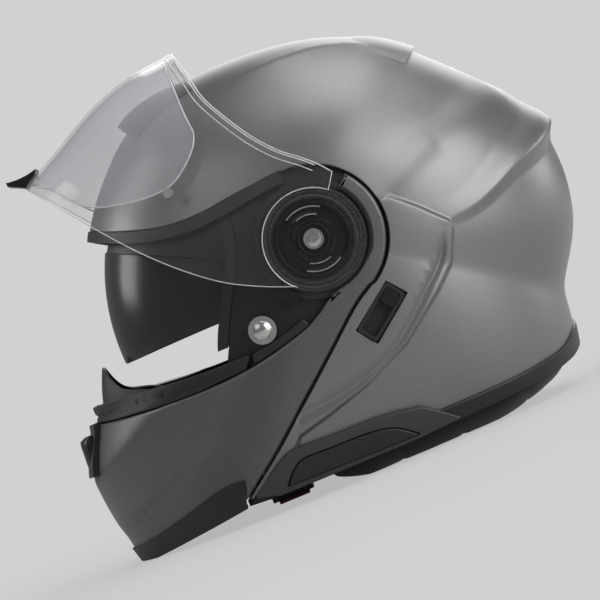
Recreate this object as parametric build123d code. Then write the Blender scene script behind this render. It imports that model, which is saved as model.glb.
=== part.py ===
from build123d import *
import math
import os

os.makedirs("parts", exist_ok=True)

# A flip-up road helmet that stands on its rim: millimetres, +Z up, front towards -X, rider's left towards -Y.
# The chin bar and the visor turn about one axis along Y. Angles in the side view are counted from the rear
# (+X) over the crown (90) to the face (180), and below the axis they are negative.

# Main sizes
shell_radius = 127.0
shell_half_width = 124.0
shell_wall = 4.0
hinge_height = 144.6
hinge_offset = 9.6
arm_half_width = 127.5
chin_wall = 3.2
visor_half_width = 128.2
visor_wall = 2.2
plateau_height = 2.8
seam_gap = 1.3
seat_gap = 0.3
overrun = 60.0

# Hinge parts
arm_tip_radius = 43.9
arm_rim_radius = 33.5
arm_floor_wall = 2.4
arm_cup_wall = 2.6
side_plate_wall = 3.4
hinge_shaft_radius = 4.0
hinge_running_gap = 0.06
hinge_head_radius = 6.0
hinge_head_height = 2.2
base_plate_radius = 32.6
base_plate_wall = 1.7
base_boss_radius = 23.8
visor_ring_radius = 31.4
hook_mid_radius = 17.0
hook_width = 3.4
hook_height = 1.2
latch_washer_radius = 8.6
latch_dome_radius = 5.6
latch_stem_radius = 4.0

# Sun visor
sun_axis_forward = 2.0
sun_axis_drop = 18.6
sun_radius = 140.5
sun_half_width = 100.0
sun_wall = 2.0
sun_pivot_radius = 4.0

# Inner parts
liner_half_width = 115.0
cavity_half_width = 93.0
pad_wall = 9.0
pad_channel_depth = 3.0
roll_width = 21.0
roll_height = 21.0
floor_cut = 0.5


def curve_through(pairs):
    """A smooth function of an angle that passes through pairs of angle and value."""
    angles = [angle for angle, value in pairs]
    values = [value for angle, value in pairs]
    last = len(pairs) - 1
    slopes = []
    for index in range(len(pairs)):
        low = max(index - 1, 0)
        high = min(index + 1, last)
        slopes.append((values[high] - values[low]) / (angles[high] - angles[low]))

    def value_at(angle):
        if angle <= angles[0]:
            return values[0]
        if angle >= angles[last]:
            return values[last]
        index = max(k for k in range(last) if angles[k] <= angle)
        span = angles[index + 1] - angles[index]
        t = (angle - angles[index]) / span
        start = values[index] * (1 + 2 * t) * (1 - t) ** 2
        end = values[index + 1] * t * t * (3 - 2 * t)
        turn = slopes[index] * span * t * (1 - t) ** 2 + slopes[index + 1] * span * t * t * (t - 1)
        return start + end + turn

    return value_at


# How far each surface stands from the hinge axis in the middle plane, as shares of the shell radius
shell_shares = curve_through([(-202, 1.115), (-190, 1.2), (-180, 1.28), (-165, 1.42), (-155, 1.58), (-146, 1.7),
                              (-140, 1.8), (-133, 1.95), (-128, 2.08), (-122, 2.15), (-110, 2.04), (-90, 1.88),
                              (-70, 1.72), (-60, 1.63), (-50, 1.5), (-43, 1.4), (-38, 1.33), (-33, 1.272),
                              (-28, 1.27), (-23, 1.285), (-17, 1.3), (-8, 1.298), (0, 1.284), (5, 1.272),
                              (14, 1.221), (25, 1.115), (38, 1.056), (53, 1.037), (71, 1.0), (86, 0.986),
                              (101, 1.005), (126, 1.066), (141, 1.082), (158, 1.115)])
chin_shares = curve_through([(-170, 1.38), (-162.5, 1.412), (-155, 1.606), (-153, 1.633), (-146.5, 1.714),
                             (-142, 1.77), (-139, 1.81), (-133, 1.93), (-128, 2.08), (-122, 2.2), (-110, 2.06),
                             (-90, 1.88), (-60, 1.63), (-30, 1.27), (0, 1.284), (30, 1.09), (60, 1.04)])
visor_shares = curve_through([(0, 1.15), (60, 1.15), (90, 1.153), (104, 1.169), (109.5, 1.195), (117.5, 1.24),
                              (126.5, 1.288), (136, 1.34), (141, 1.385), (145, 1.43), (152, 1.49), (170, 1.58),
                              (200, 1.62), (240, 1.62)])
cavity_shares = curve_through([(-125, 1.6), (-90, 1.3), (-60, 1.1), (-30, 1.0), (0, 0.98), (30, 0.8), (60, 0.73),
                               (90, 0.715), (120, 0.76), (140, 0.8), (160, 0.83)])

# The squareness of the cross sections
cross_powers = curve_through([(-202, 2.3), (-185, 2.1), (-165, 2.0), (-140, 2.0), (-125, 2.25), (-110, 2.3),
                              (158, 2.3)])
even_power = 2.3


def even_powers(angle):
    return even_power


# The spoiler's crease in the side view: angle against the share of the shell's radius there
spoiler_height = 7.0
spoiler_line = curve_through([(0.5, -14), (0.59, -11), (0.77, -3), (0.92, 1.2), (1.0, 4.4)])
spoiler_rise = curve_through([(0.45, 0.0), (0.6, 0.25), (0.8, 0.75), (0.92, 1.0), (1.0, 1.0)])
spoiler_slope_angle = 9.0
spoiler_drop_angle = 4.0


def spoiler_bump(angle, reach_share):
    """How far the rear spoiler stands off the smooth shell."""
    away = angle - spoiler_line(reach_share)
    spread = spoiler_slope_angle if away > 0 else spoiler_drop_angle
    fall = max(0.0, 1.0 - abs(away) / spread)
    return spoiler_height * spoiler_rise(reach_share) * fall * fall * (3 - 2 * fall)


def side_place(share_x, share_z):
    """A place in the side view, from shares of the shell radius about the hinge axis."""
    return (hinge_offset + shell_radius * share_x, hinge_height + shell_radius * share_z)


def ring_place(radius, angle):
    """A place in the side view at a radius and an angle about the hinge axis."""
    turn = math.radians(angle)
    return (hinge_offset + radius * math.cos(turn), hinge_height + radius * math.sin(turn))


def shifted(places, distance):
    """An open run of places moved sideways; a positive distance moves it to the right of its direction."""
    moved = []
    for index, (x, z) in enumerate(places):
        x0, z0 = places[max(index - 1, 0)]
        x1, z1 = places[min(index + 1, len(places) - 1)]
        length = math.hypot(x1 - x0, z1 - z0)
        moved.append((x + distance * (z1 - z0) / length, z - distance * (x1 - x0) / length))
    return moved


def surface_point(axis, shares, powers, half_width, radius_inset, angle, turn, bump=None):
    """A point of a surface that is a rounded bulge about an axis along Y."""
    radius = shell_radius * shares(angle) - radius_inset
    power = powers(angle)
    reach_share = abs(math.cos(turn)) ** (2 / power)
    width_share = abs(math.sin(turn)) ** (2 / power)
    if bump:
        radius = radius + bump(angle, reach_share)
    reach = radius * reach_share
    side = half_width * width_share * (1 if turn > 0 else -1)
    heading = math.radians(angle)
    return Vector(axis[0] + reach * math.cos(heading), side, axis[1] + reach * math.sin(heading))


def surface_grid(axis, shares, powers, half_width, radius_inset, angles, columns, hub, bump=None, limit=90.0):
    """Rows of points from the rider's right to left, one row at each angle, starting at the hub radius."""
    rows = []
    for angle in angles:
        radius = shell_radius * shares(angle) - radius_inset
        widest = math.acos(min(1.0, hub / radius) ** (powers(angle) / 2))
        widest = min(widest, math.radians(limit))
        turns = [widest * (2 * column / (columns - 1) - 1) for column in range(columns)]
        rows.append([surface_point(axis, shares, powers, half_width, radius_inset, angle, turn, bump)
                     for turn in turns])
    return rows


def solid_between(outer_rows, inner_rows, closeness):
    """The closed solid between two grids of points that have the same rows and columns."""
    outer = Face.make_surface_from_array_of_points(outer_rows, tol=closeness)
    inner = Face.make_surface_from_array_of_points(inner_rows, tol=closeness)
    faces = [outer, inner]
    for outer_edge, inner_edge in zip(outer.edges(), inner.edges()):
        faces.append(Face.make_surface_from_curves(outer_edge, inner_edge))
    body = Solid(Shell(faces))
    if body.volume < 0:
        body = Solid(Shell([-face for face in faces]))
    return body.fix()


surface_closeness = 0.06
hub_radius = 12.0
hinge_axis = (hinge_offset, hinge_height)
wide_columns = 25
row_step = 3.0


def steps(start, end, count):
    return [start + (end - start) * index / count for index in range(count + 1)]


def rows(start, end):
    """Evenly spaced angles, the same ones for every surface that lies near another."""
    return steps(start, end, round((end - start) / row_step))


def bulge(shares, powers, half_width, outer_inset, wall, angles, axis=hinge_axis, hub=hub_radius, bump=None,
          limit=90.0, inner_shares=None, inner_half_width=None, inner_bump=None):
    """A wall of even thickness under a rounded bulge, or one between two bulges."""
    outer = surface_grid(axis, shares, powers, half_width - outer_inset, outer_inset, angles, wide_columns, hub,
                         bump, limit)
    if inner_shares:
        inner = surface_grid(axis, inner_shares, powers, inner_half_width, 0, angles, wide_columns, hub,
                             inner_bump, limit)
    else:
        inner = surface_grid(axis, shares, powers, half_width - outer_inset - wall, outer_inset + wall, angles,
                             wide_columns, hub, bump, limit)
    return solid_between(outer, inner, surface_closeness)


def side_face(runs):
    """A flat face in the side view. Each run of places is a line if it has two, and a smooth curve if more."""
    edges = []
    for index, run in enumerate(runs):
        places = [Vector(x, 0, z) for x, z in run]
        edges.append(Edge.make_line(places[0], places[1]) if len(places) == 2 else Edge.make_spline(places))
        following = runs[(index + 1) % len(runs)][0]
        end = Vector(following[0], 0, following[1])
        if (places[-1] - end).length > surface_closeness:
            edges.append(Edge.make_line(places[-1], end))
    return Face(Wire(edges))


def side_prism(runs, low=-2 * shell_radius, high=2 * shell_radius):
    """The side view's outline carried across the helmet from one place along Y to another."""
    face = side_face(runs).moved(Location((0, low, 0)))
    return Solid.extrude(face, Vector(0, high - low, 0))


def disc(radius, low, high, centre=hinge_axis):
    """A round plate about an axis along Y, between two places along Y."""
    plane = Plane(origin=(centre[0], low, centre[1]), x_dir=(1, 0, 0), z_dir=(0, 1, 0))
    return Solid.make_cylinder(radius, high - low, plane)


def ring(outer_radius, inner_radius, low, high, centre=hinge_axis):
    return disc(outer_radius, low, high, centre) - disc(inner_radius, low - overrun, high + overrun, centre)


def arc_run(radius, start, end, count=12):
    return [ring_place(radius, angle) for angle in steps(start, end, count)]


def other_side(piece):
    return mirror(piece, about=Plane.XZ)


def save(piece, name):
    export_step(piece, "parts/" + name + ".step")


# Side view lines that more than one piece follows
brow_line_shares = [(-1.036, 0.491), (-0.906, 0.42), (-0.677, 0.338), (-0.472, 0.318), (-0.26, 0.338),
                    (-0.031, 0.36)]
seam_line_shares = [(0.178, -0.294), (0.057, -0.369), (-0.142, -0.535), (-0.35, -0.706), (-0.539, -0.861),
                    (-0.76, -1.023)]
shell_bottom_shares = [(-0.63, -1.04), (0.248, -1.04), (0.556, -1.032), (0.769, -1.017), (0.945, -0.981),
                       (1.079, -0.91), (1.181, -0.855)]
chin_top_shares = [(-1.347, -0.424), (-1.149, -0.444), (-0.848, -0.465), (-0.533, -0.452), (-0.227, -0.387),
                   (-0.118, -0.339), (-0.047, -0.292)]
front_limit_share = -1.75
rear_limit_share = 1.75
top_limit_share = 1.4
bottom_limit_share = -1.35

brow_line = [side_place(x, z) for x, z in brow_line_shares]
seam_line = [side_place(x, z) for x, z in seam_line_shares]
shell_bottom = [side_place(x, z) for x, z in shell_bottom_shares]
chin_top = [side_place(x, z) for x, z in chin_top_shares]
tip_start_angle = 42.0
tip_end_angle = -59.0
shell_rim_radius = arm_tip_radius + seam_gap


def side_reach(x, z, half_width, radius_inset):
    """How far out along Y the shell's side lies at a place in the side view."""
    reach = math.hypot(x - hinge_offset, z - hinge_height)
    angle = math.degrees(math.atan2(z - hinge_height, x - hinge_offset))
    if angle > brow_end_angle:
        angle = angle - 360
    radius = shell_radius * shell_shares(angle) - radius_inset
    power = cross_powers(angle)
    return half_width * max(0.0, 1 - (reach / radius) ** power) ** (1 / power)


brow_end_angle = 158.0


def side_sheet(places_x, places_z, outer_inset, wall):
    """A curved sheet at the rider's left that follows the shell's side, a given distance inside it."""
    outer = []
    inner = []
    for x in places_x:
        outer.append([Vector(x, -side_reach(x, z, shell_half_width - outer_inset, outer_inset), z)
                      for z in places_z])
        inner_inset = outer_inset + wall
        inner.append([Vector(x, -side_reach(x, z, shell_half_width - inner_inset, inner_inset), z)
                      for z in places_z])
    return solid_between(outer, inner, surface_closeness)


def places(shares):
    return [side_place(x, z) for x, z in shares]


def box_between(low, high):
    corner = Plane(origin=low)
    return Solid.make_box(high[0] - low[0], high[1] - low[1], high[2] - low[2], corner)


# Outer shell
shell_angles = rows(-129, 159)
plateau_shares = [(0.389, 0.065), (0.513, -0.047), (0.622, -0.16), (0.628, -0.2), (0.557, -0.352),
                  (0.444, -0.454), (0.22, -0.619), (-0.028, -0.731), (-0.247, -0.795), (-0.5, -0.856)]
plateau_back_shares = [(-0.6, -0.7), (0.15, -0.1)]
plateau_root = 2.0
spoiler_sink = 0.5
spoiler_root = 2.5
spoiler_limit_angle = 62.0
spoiler_columns = 45
slot_shares = [(0.236, -0.315), (0.306, -0.402), (0.091, -0.567), (0.021, -0.474)]
intake_low_angle = 112.0
intake_high_angle = 124.0
intake_slot_width = 44.0
outlet_low_angle = 44.0
outlet_high_angle = 52.0
outlet_slot_width = 50.0
wedge_inner_share = 0.8
wedge_outer_share = 1.4


def make_spoiler():
    """The ridge across the back of the shell, with a long slope above its crease and a short drop below."""
    angles = steps(-18, 16, 24)
    outer = surface_grid(hinge_axis, shell_shares, cross_powers, shell_half_width - spoiler_sink, spoiler_sink,
                         angles, spoiler_columns, hub_radius, spoiler_bump, spoiler_limit_angle)
    inner = surface_grid(hinge_axis, shell_shares, cross_powers, shell_half_width - spoiler_root, spoiler_root,
                         angles, spoiler_columns, hub_radius, None, spoiler_limit_angle)
    return solid_between(outer, inner, surface_closeness)


def wedge(low_angle, high_angle, width):
    """A block that crosses the shell's wall between two angles, over a width about the middle."""
    near = shell_radius * wedge_inner_share
    far = shell_radius * wedge_outer_share
    outline = [[ring_place(near, low_angle), ring_place(far, low_angle)],
               [ring_place(far, high_angle), ring_place(near, high_angle)]]
    return side_prism(outline, -width / 2, width / 2)


def make_outer_shell():
    """The painted shell: cut along the brow, round the chin bar's arm, down the seam and along the lower rim."""
    wall = bulge(shell_shares, cross_powers, shell_half_width, 0, shell_wall, shell_angles)
    seam = shifted(seam_line, -seam_gap / 2)
    brow_front = side_place(front_limit_share, brow_line_shares[0][1])
    rear_low = side_place(rear_limit_share, shell_bottom_shares[-1][1])
    rear_high = side_place(rear_limit_share, top_limit_share)
    front_high = side_place(front_limit_share, top_limit_share)
    outline = [[brow_front, brow_line[0]], brow_line, arc_run(shell_rim_radius, 95, tip_end_angle + 1), seam,
               shell_bottom, [rear_low, rear_high], [rear_high, front_high]]
    raised = bulge(shell_shares, cross_powers, shell_half_width, -plateau_height, plateau_height + plateau_root,
                   shell_angles)
    step = places(plateau_shares)
    low, high = places(plateau_back_shares)
    panel = [step, [step[-1], low], [low, high], [high, step[0]]]
    shell = wall + (raised & side_prism(panel))
    shell = (shell & side_prism(outline)) + make_spoiler()
    shell = shell - wedge(intake_low_angle, intake_high_angle, intake_slot_width)
    shell = shell - wedge(outlet_low_angle, outlet_high_angle, outlet_slot_width)
    return shell - slot_cutter(cover_gap, -shell_half_width - overrun, -shell_half_width / 2)


# Chin bar
chin_angles = rows(-168, 45)
chin_rim_drop_share = -1.107
chin_vent_low_share = -0.63
chin_vent_high_share = -0.47
chin_vent_width = 44.0
chin_vent_front_share = -1.6
chin_vent_back_share = -1.2
chin_low_rear_share = (-0.78, -1.025)
chin_low_front_share = (-1.31, chin_rim_drop_share)
arm_floor_low = 119.9
arm_cup_radius = arm_rim_radius + arm_cup_wall
cup_end_angle = -95.0


def spread(side, low, high):
    """Two distances from the middle plane as places along Y, at the rider's left (-1) or right (1)."""
    return (-high, -low) if side < 0 else (low, high)


def arm_cup(side):
    """The round cup at the end of an arm, with the hinge screw's bore in its floor."""
    floor = disc(arm_cup_radius, *spread(side, arm_floor_low, arm_floor_low + arm_floor_wall))
    rim = ring(arm_cup_radius, arm_rim_radius + seat_gap,
               *spread(side, arm_floor_low, arm_half_width - chin_wall / 2))
    far = 2 * arm_cup_radius
    rim = rim & side_prism([[hinge_axis, ring_place(far, cup_end_angle)],
                            [ring_place(far, cup_end_angle), ring_place(far, cup_end_angle / 2)],
                            [ring_place(far, cup_end_angle / 2), ring_place(far, 0)],
                            [ring_place(far, 0), ring_place(far, tip_start_angle)],
                            [ring_place(far, tip_start_angle), hinge_axis]])
    return floor + rim - disc(hinge_shaft_radius + hinge_running_gap, -2 * arm_half_width, 2 * arm_half_width)


def make_chin_bar():
    """The painted chin bar with an arm on each side that ends in a cup round the hinge."""
    wall = bulge(chin_shares, cross_powers, arm_half_width, 0, chin_wall, chin_angles)
    seam = shifted(seam_line, seam_gap / 2)
    bottom_rear = side_place(*chin_low_rear_share)
    bottom_front = side_place(*chin_low_front_share)
    outline = [[side_place(front_limit_share, chin_top_shares[0][1]), chin_top[0]], chin_top,
               arc_run(arm_rim_radius, -88, tip_start_angle), arc_run(arm_tip_radius, tip_start_angle, tip_end_angle),
               seam, [bottom_rear, bottom_front], [bottom_front, side_place(front_limit_share, chin_rim_drop_share)]]
    bar = wall & side_prism(outline)
    front, low = side_place(chin_vent_front_share, chin_vent_low_share)
    back, high = side_place(chin_vent_back_share, chin_vent_high_share)
    vent = box_between((front, -chin_vent_width / 2, low), (back, chin_vent_width / 2, high))
    return bar + arm_cup(-1) + arm_cup(1) - vent


# Visor
visor_bottom_shares = [(-1.202, 0.773), (-1.054, 0.583), (-0.905, 0.393), (-0.766, 0.231), (-0.619, 0.087),
                       (-0.466, -0.033), (-0.3, -0.122), (-0.155, -0.182)]
visor_top_shares = [(0.205, 0.26), (0.158, 0.318), (0.09, 0.383), (0.0, 0.461), (-0.101, 0.591), (-0.217, 0.809),
                    (-0.254, 0.969), (-0.293, 1.136)]
visor_limit_shares = [(-0.35, 1.5), (-1.6, 1.4), (-1.5, 0.85)]
visor_angles = steps(20, 250, 46)
visor_ring_inner = 124.5
visor_ring_wall = 3.4
visor_sheet_overlap = 1.2
visor_hub_radius = 29.0
visor_ring_gap = 0.3


def make_visor():
    """The clear visor, raised: a bulged sheet that runs to a flat ring round the hinge on each side."""
    wall = bulge(visor_shares, even_powers, visor_half_width, 0, visor_wall, visor_angles, hub=visor_hub_radius)
    bottom = places(visor_bottom_shares)
    top = places(visor_top_shares)
    buried = visor_ring_radius - visor_sheet_overlap
    above, before, below = places(visor_limit_shares)
    outline = [bottom, arc_run(buried, -128, 0), arc_run(buried, 0, 46), top, [above, before], [before, below]]
    sheet = wall & side_prism(outline)
    for side in (-1, 1):
        sheet = sheet + ring(visor_ring_radius, base_boss_radius + visor_ring_gap,
                             *spread(side, visor_ring_inner, visor_ring_inner + visor_ring_wall))
    return sheet


# Side plates, latch pins and hinge screws
side_plate_inset = 4.6
window_low_share = (-0.72, -1.06)
window_high_share = (0.46, 0.47)
side_plate_columns = 26
pillar_shares = [(-0.37, 0.37), (-0.33, 0.247), (-0.43, -0.06), (-0.565, -0.32), (-0.625, -0.52), (-0.62, -0.78),
                 (-0.66, -0.985)]
side_plate_tuck = 6.0
latch_share = (-0.387, -0.306)
latch_place = side_place(*latch_share)
latch_washer_height = 1.2
latch_dome_height = 1.9
latch_reach = 117.9
hinge_boss_radius = 11.0
hinge_boss_depth = 9.0
hinge_head_low = 125.2


def side_window():
    """The rectangle of the side view that the side plate is made over."""
    low_x, low_z = side_place(*window_low_share)
    high_x, high_z = side_place(*window_high_share)
    return low_x, high_x, low_z, high_z


def side_plate_outline(tuck):
    rear = shifted(seam_line, -tuck)
    top_rear = ring_place(shell_rim_radius + tuck, 95)
    pillar = places(pillar_shares)
    return [pillar[:4], pillar[3:], [pillar[-1], rear[-1]], list(reversed(rear)),
            arc_run(shell_rim_radius + tuck, tip_end_angle, 95), [top_rear, places(pillar_shares)[0]]]


def make_side_plate():
    """The black plate inside the arm that carries the hinge, the latch pin and the shell's cheek."""
    low_x, high_x, low_z, high_z = side_window()
    across = steps(low_x, high_x, side_plate_columns)
    up = steps(low_z, high_z, side_plate_columns)
    sheet = side_sheet(across, up, side_plate_inset, side_plate_wall)
    plate = sheet & side_prism(side_plate_outline(side_plate_tuck))
    boss_high = -shell_half_width + side_plate_inset + side_plate_wall / 2
    boss = disc(hinge_boss_radius, boss_high, boss_high + hinge_boss_depth)
    plate = plate + boss
    plate = plate - disc(hinge_shaft_radius, -shell_half_width, -shell_half_width + overrun)
    return plate - disc(latch_stem_radius, -shell_half_width, -shell_half_width + overrun, latch_place)


def make_latch_pin():
    """The domed steel pin that the chin bar's hook closes on."""
    low = -latch_reach - latch_washer_height
    stem = disc(latch_stem_radius, low, low + latch_washer_height + side_plate_wall, latch_place)
    washer = disc(latch_washer_radius, low, -latch_reach, latch_place)
    dome_radius = (latch_dome_radius ** 2 + latch_dome_height ** 2) / (2 * latch_dome_height)
    ball = Solid.make_sphere(dome_radius, Plane((latch_place[0], low - latch_dome_height + dome_radius,
                                                 latch_place[1])))
    cap = ball & disc(latch_dome_radius, low - latch_dome_height, low, latch_place)
    return stem + washer + cap


def make_hinge_screw():
    """The screw that the chin bar and the visor turn about, with a cross slot in its head."""
    head_high = -hinge_head_low
    shaft = disc(hinge_shaft_radius, head_high, -shell_half_width + side_plate_inset + hinge_boss_depth)
    head = disc(hinge_head_radius, head_high - hinge_head_height, head_high)
    socket = disc(hinge_head_radius / 3, head_high - hinge_head_height, head_high - hinge_head_height / 2)
    return shaft + head - socket


# Visor base plate and release tab
base_plate_low = arm_floor_low + arm_floor_wall
base_boss_high = 127.0
base_dish_radius = 20.6
base_dish_depth = 2.6
release_tab_inner = 33.2
release_tab_outer = 40.5
release_tab_wall = 1.8


def make_visor_base_plate():
    """The black plate in the arm's cup that the visor's ring turns on, with two hooks in its dish."""
    plate = disc(base_plate_radius, -base_plate_low - base_plate_wall, -base_plate_low)
    boss = disc(base_boss_radius, -base_boss_high, -base_plate_low)
    dish = disc(base_dish_radius, -base_boss_high, -base_boss_high + base_dish_depth)
    plate = plate + boss - dish
    hook_low = -base_boss_high + base_dish_depth
    for middle in (90, -90):
        outer = hook_mid_radius + hook_width / 2
        inner = hook_mid_radius - hook_width / 2
        sector = [[ring_place(inner, middle - 32), ring_place(outer, middle - 32)],
                  arc_run(outer, middle - 32, middle + 32), arc_run(inner, middle + 32, middle - 32)]
        plate = plate + side_prism(sector, hook_low - hook_height, hook_low)
    bore = hinge_head_radius + seat_gap
    plate = plate - disc(bore, -base_boss_high, -hinge_head_low + seat_gap)
    return plate - disc(hinge_shaft_radius + seat_gap, -base_boss_high, -base_plate_low)


def make_visor_release_tab():
    """The small spring lever below the ring that frees the visor from its base plate."""
    sector = [[ring_place(release_tab_inner, -152), ring_place(release_tab_outer, -148)],
              arc_run(release_tab_outer, -148, -126), arc_run(release_tab_inner, -124, -152)]
    high = -base_plate_low - seat_gap
    return side_prism(sector, high - release_tab_wall, high)


# Anti-fog insert and its pins, and the visor's tab
insert_wall = 0.7
insert_gap = 0.4
insert_shares = [(-0.345, 1.1), (-0.34, 0.79), (-0.338, 0.665), (-0.426, 0.556), (-0.557, 0.487), (-0.763, 0.5),
                 (-0.954, 0.57), (-1.12, 0.76)]
insert_limit_shares = [(-1.5, 0.9), (-0.6, 1.5)]
insert_hub_share = 0.45
insert_pin_share = (-0.551, 0.462)
insert_pin_radius = 3.3
insert_pin_height = 1.0
tab_shares = [(-1.13, 0.86), (-1.17, 0.85), (-1.292, 0.85), (-1.292, 0.83), (-1.215, 0.792), (-1.18, 0.77)]
tab_width = 30.0


def make_anti_fog_insert():
    """The thin clear insert behind the visor's face."""
    sheet = bulge(visor_shares, even_powers, visor_half_width, visor_wall + insert_gap, insert_wall,
                  steps(100, 152, 20), hub=shell_radius * insert_hub_share)
    edge = places(insert_shares)
    before, above = places(insert_limit_shares)
    outline = [edge, [edge[-1], before], [before, above], [above, edge[0]]]
    return sheet & side_prism(outline)


def visor_side_reach(x, z, inset):
    reach = math.hypot(x - hinge_offset, z - hinge_height)
    angle = math.degrees(math.atan2(z - hinge_height, x - hinge_offset)) % 360
    radius = shell_radius * visor_shares(angle) - inset
    return (visor_half_width - inset) * (1 - (reach / radius) ** even_power) ** (1 / even_power)


def make_insert_pins():
    """The two eccentric pins that hold the insert, one each side, through the visor's wall."""
    x, z = side_place(*insert_pin_share)
    outer = visor_side_reach(x, z, 0)
    small = insert_pin_radius / 3
    slope_x = (visor_side_reach(x + small, z, 0) - visor_side_reach(x - small, z, 0)) / (2 * small)
    slope_z = (visor_side_reach(x, z + small, 0) - visor_side_reach(x, z - small, 0)) / (2 * small)
    normal = Vector(-slope_x, -1, -slope_z).normalized()
    start = Vector(x, -outer, z) + normal * seat_gap
    head = Solid.make_cylinder(insert_pin_radius, insert_pin_height, Plane(origin=start, z_dir=normal))
    return Compound([head, other_side(head)])


def make_visor_tab():
    """The black grip at the middle of the visor's lower edge."""
    grip = side_prism([places(tab_shares)[:3], places(tab_shares)[2:4], places(tab_shares)[3:]],
                      -tab_width / 2, tab_width / 2)
    keep_out = bulge(visor_shares, even_powers, visor_half_width, -seat_gap, visor_wall + 2 * seat_gap,
                     steps(128, 152, 12), hub=shell_radius)
    grip = grip - keep_out
    return max(grip.solids(), key=lambda solid: solid.volume)


# Sun visor
sun_axis = (hinge_offset + sun_axis_forward, hinge_height - sun_axis_drop)
sun_profile_shares = [(0.0, -0.212), (-0.25, -0.208), (-0.543, -0.195), (-0.9, -0.2), (-1.25, -0.215)]
sun_top_shares = [(-1.25, 0.38), (-0.95, 0.34), (-0.6, 0.2), (-0.25, 0.0), (0.0, -0.08)]
sun_hub_radius = 9.0
sun_hub_wall = 2.6
sun_collar_radius = 6.5
sun_bore_gap = 0.08
sun_pin_end = 2.0


def sun_shares(angle):
    return sun_radius / shell_radius


def sun_bulge(outer_inset, wall, start, end):
    return bulge(sun_shares, even_powers, sun_half_width, outer_inset, wall, steps(start, end, 30), axis=sun_axis,
                 hub=sun_hub_radius / 2)


def make_sun_visor():
    """The dark inner visor with an arm back to its pivot on each side."""
    sheet = sun_bulge(0, sun_wall, 125, 215)
    low = places(sun_profile_shares)
    top = places(sun_top_shares)
    outline = [low, [low[-1], top[0]], top, [top[-1], low[0]]]
    lens = sheet & side_prism(outline)
    hub = disc(sun_hub_radius, -sun_half_width, -sun_half_width + sun_hub_wall, sun_axis)
    lens = lens + hub + other_side(hub)
    bore = disc(sun_pivot_radius + sun_bore_gap, -sun_half_width - overrun, sun_half_width + overrun, sun_axis)
    return lens - bore


def make_sun_visor_pivots():
    """The two pins that the sun visor swings on, from the side plates inwards."""
    outer = -side_reach(sun_axis[0], sun_axis[1], shell_half_width - side_plate_inset - side_plate_wall,
                        side_plate_inset + side_plate_wall)
    pin = disc(sun_pivot_radius, outer + seat_gap, -sun_half_width + sun_hub_wall + sun_pin_end, sun_axis)
    collar = disc(sun_collar_radius, outer + seat_gap, -sun_half_width - seat_gap, sun_axis)
    pin = pin + collar
    return Compound([pin, other_side(pin)])


# Impact liner, pads and neck roll
liner_angles = rows(-111, 156)
liner_sun_outer_room = 14.0
liner_sun_inner_room = 2.5
liner_front_shares = [(-1.2, 0.53), (-1.0, 0.5), (-0.75, 0.42), (-0.5, 0.38), (-0.3, 0.37), (-0.2, 0.2), (-0.22, 0.0),
                      (-0.2, -0.17)]
liner_cheek_share = 0.12
liner_rim_share = -0.93
liner_rear_share = (1.2, -0.76)
liner_low_share = (0.55, -0.93)
liner_front_top_share = (-1.2, 1.4)
liner_hub_skin = 3.0
liner_screw_reach = 104.0


def make_impact_liner():
    """The foam liner that fills the shell, with a pocket for the sun visor and an opening for the cheek pads."""
    foam = bulge(shell_shares, cross_powers, liner_half_width + shell_wall + seat_gap, shell_wall + seat_gap,
                 shell_wall, liner_angles, inner_shares=cavity_shares, inner_half_width=cavity_half_width)
    front = places(liner_front_shares)
    cheek_low = side_place(liner_cheek_share, liner_rim_share)
    cheek_high = side_place(liner_cheek_share, liner_front_shares[-1][1])
    rim_low = side_place(*liner_low_share)
    rear_low = side_place(*liner_rear_share)
    front_top = side_place(*liner_front_top_share)
    outline = [front, [front[-1], cheek_high], [cheek_high, cheek_low],
               [cheek_low, rim_low], [rim_low, rear_low],
               [rear_low, side_place(rear_limit_share, liner_rear_share[1])],
               [side_place(rear_limit_share, liner_rear_share[1]), side_place(rear_limit_share, top_limit_share)],
               [side_place(rear_limit_share, top_limit_share), front_top],
               [front_top, front[0]]]
    foam = foam & side_prism(outline)
    room = liner_sun_outer_room + sun_wall + liner_sun_inner_room
    pocket = sun_bulge(-liner_sun_outer_room, room, 110, 240)
    foam = foam - pocket
    bore_high = -cavity_half_width + liner_sun_inner_room
    hub = disc(sun_hub_radius + liner_sun_inner_room, -liner_half_width - overrun, bore_high - liner_hub_skin,
               sun_axis)
    screw = disc(hinge_boss_radius + liner_sun_inner_room, -liner_half_width - overrun, -liner_screw_reach)
    foam = foam - hub - other_side(hub) - screw - other_side(screw)
    return max(foam.solids(), key=lambda solid: solid.volume)


crown_start = 24.0
crown_end = 138.0
crown_limit_angle = 58.0


def crown_hollow(angle, reach_share):
    """How much thinner the crown pad is at its rim and along its sewn channels."""
    along = (2 * angle - crown_start - crown_end) / (crown_end - crown_start)
    across = (1 - reach_share) / (1 - math.cos(math.radians(crown_limit_angle)) ** (2 / even_power))
    rim = max(0.0, abs(along) ** 6, min(1.0, across) ** 4)
    channel = max(0.0, math.cos(3 * math.pi * along)) ** 12
    return (pad_wall - 2 * pad_channel_depth) * rim + pad_channel_depth * channel * (1 - rim)


def make_crown_pad():
    """The quilted pad under the crown."""
    angles = steps(crown_start, crown_end, 40)
    outer = surface_grid(hinge_axis, cavity_shares, cross_powers, cavity_half_width - seat_gap, seat_gap, angles,
                         wide_columns, hub_radius, None, crown_limit_angle)
    inset = seat_gap + pad_wall
    inner = surface_grid(hinge_axis, cavity_shares, cross_powers, cavity_half_width - inset, inset, angles,
                         wide_columns, hub_radius, crown_hollow, crown_limit_angle)
    return solid_between(outer, inner, surface_closeness)


cheek_low_share = (-0.57, -0.9)
cheek_high_share = (0.1, -0.24)
cheek_face = 66.0
cheek_edge_roll = 16.0
cheek_backing_inset = 8.4
cheek_corner_share = 0.16


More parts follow.
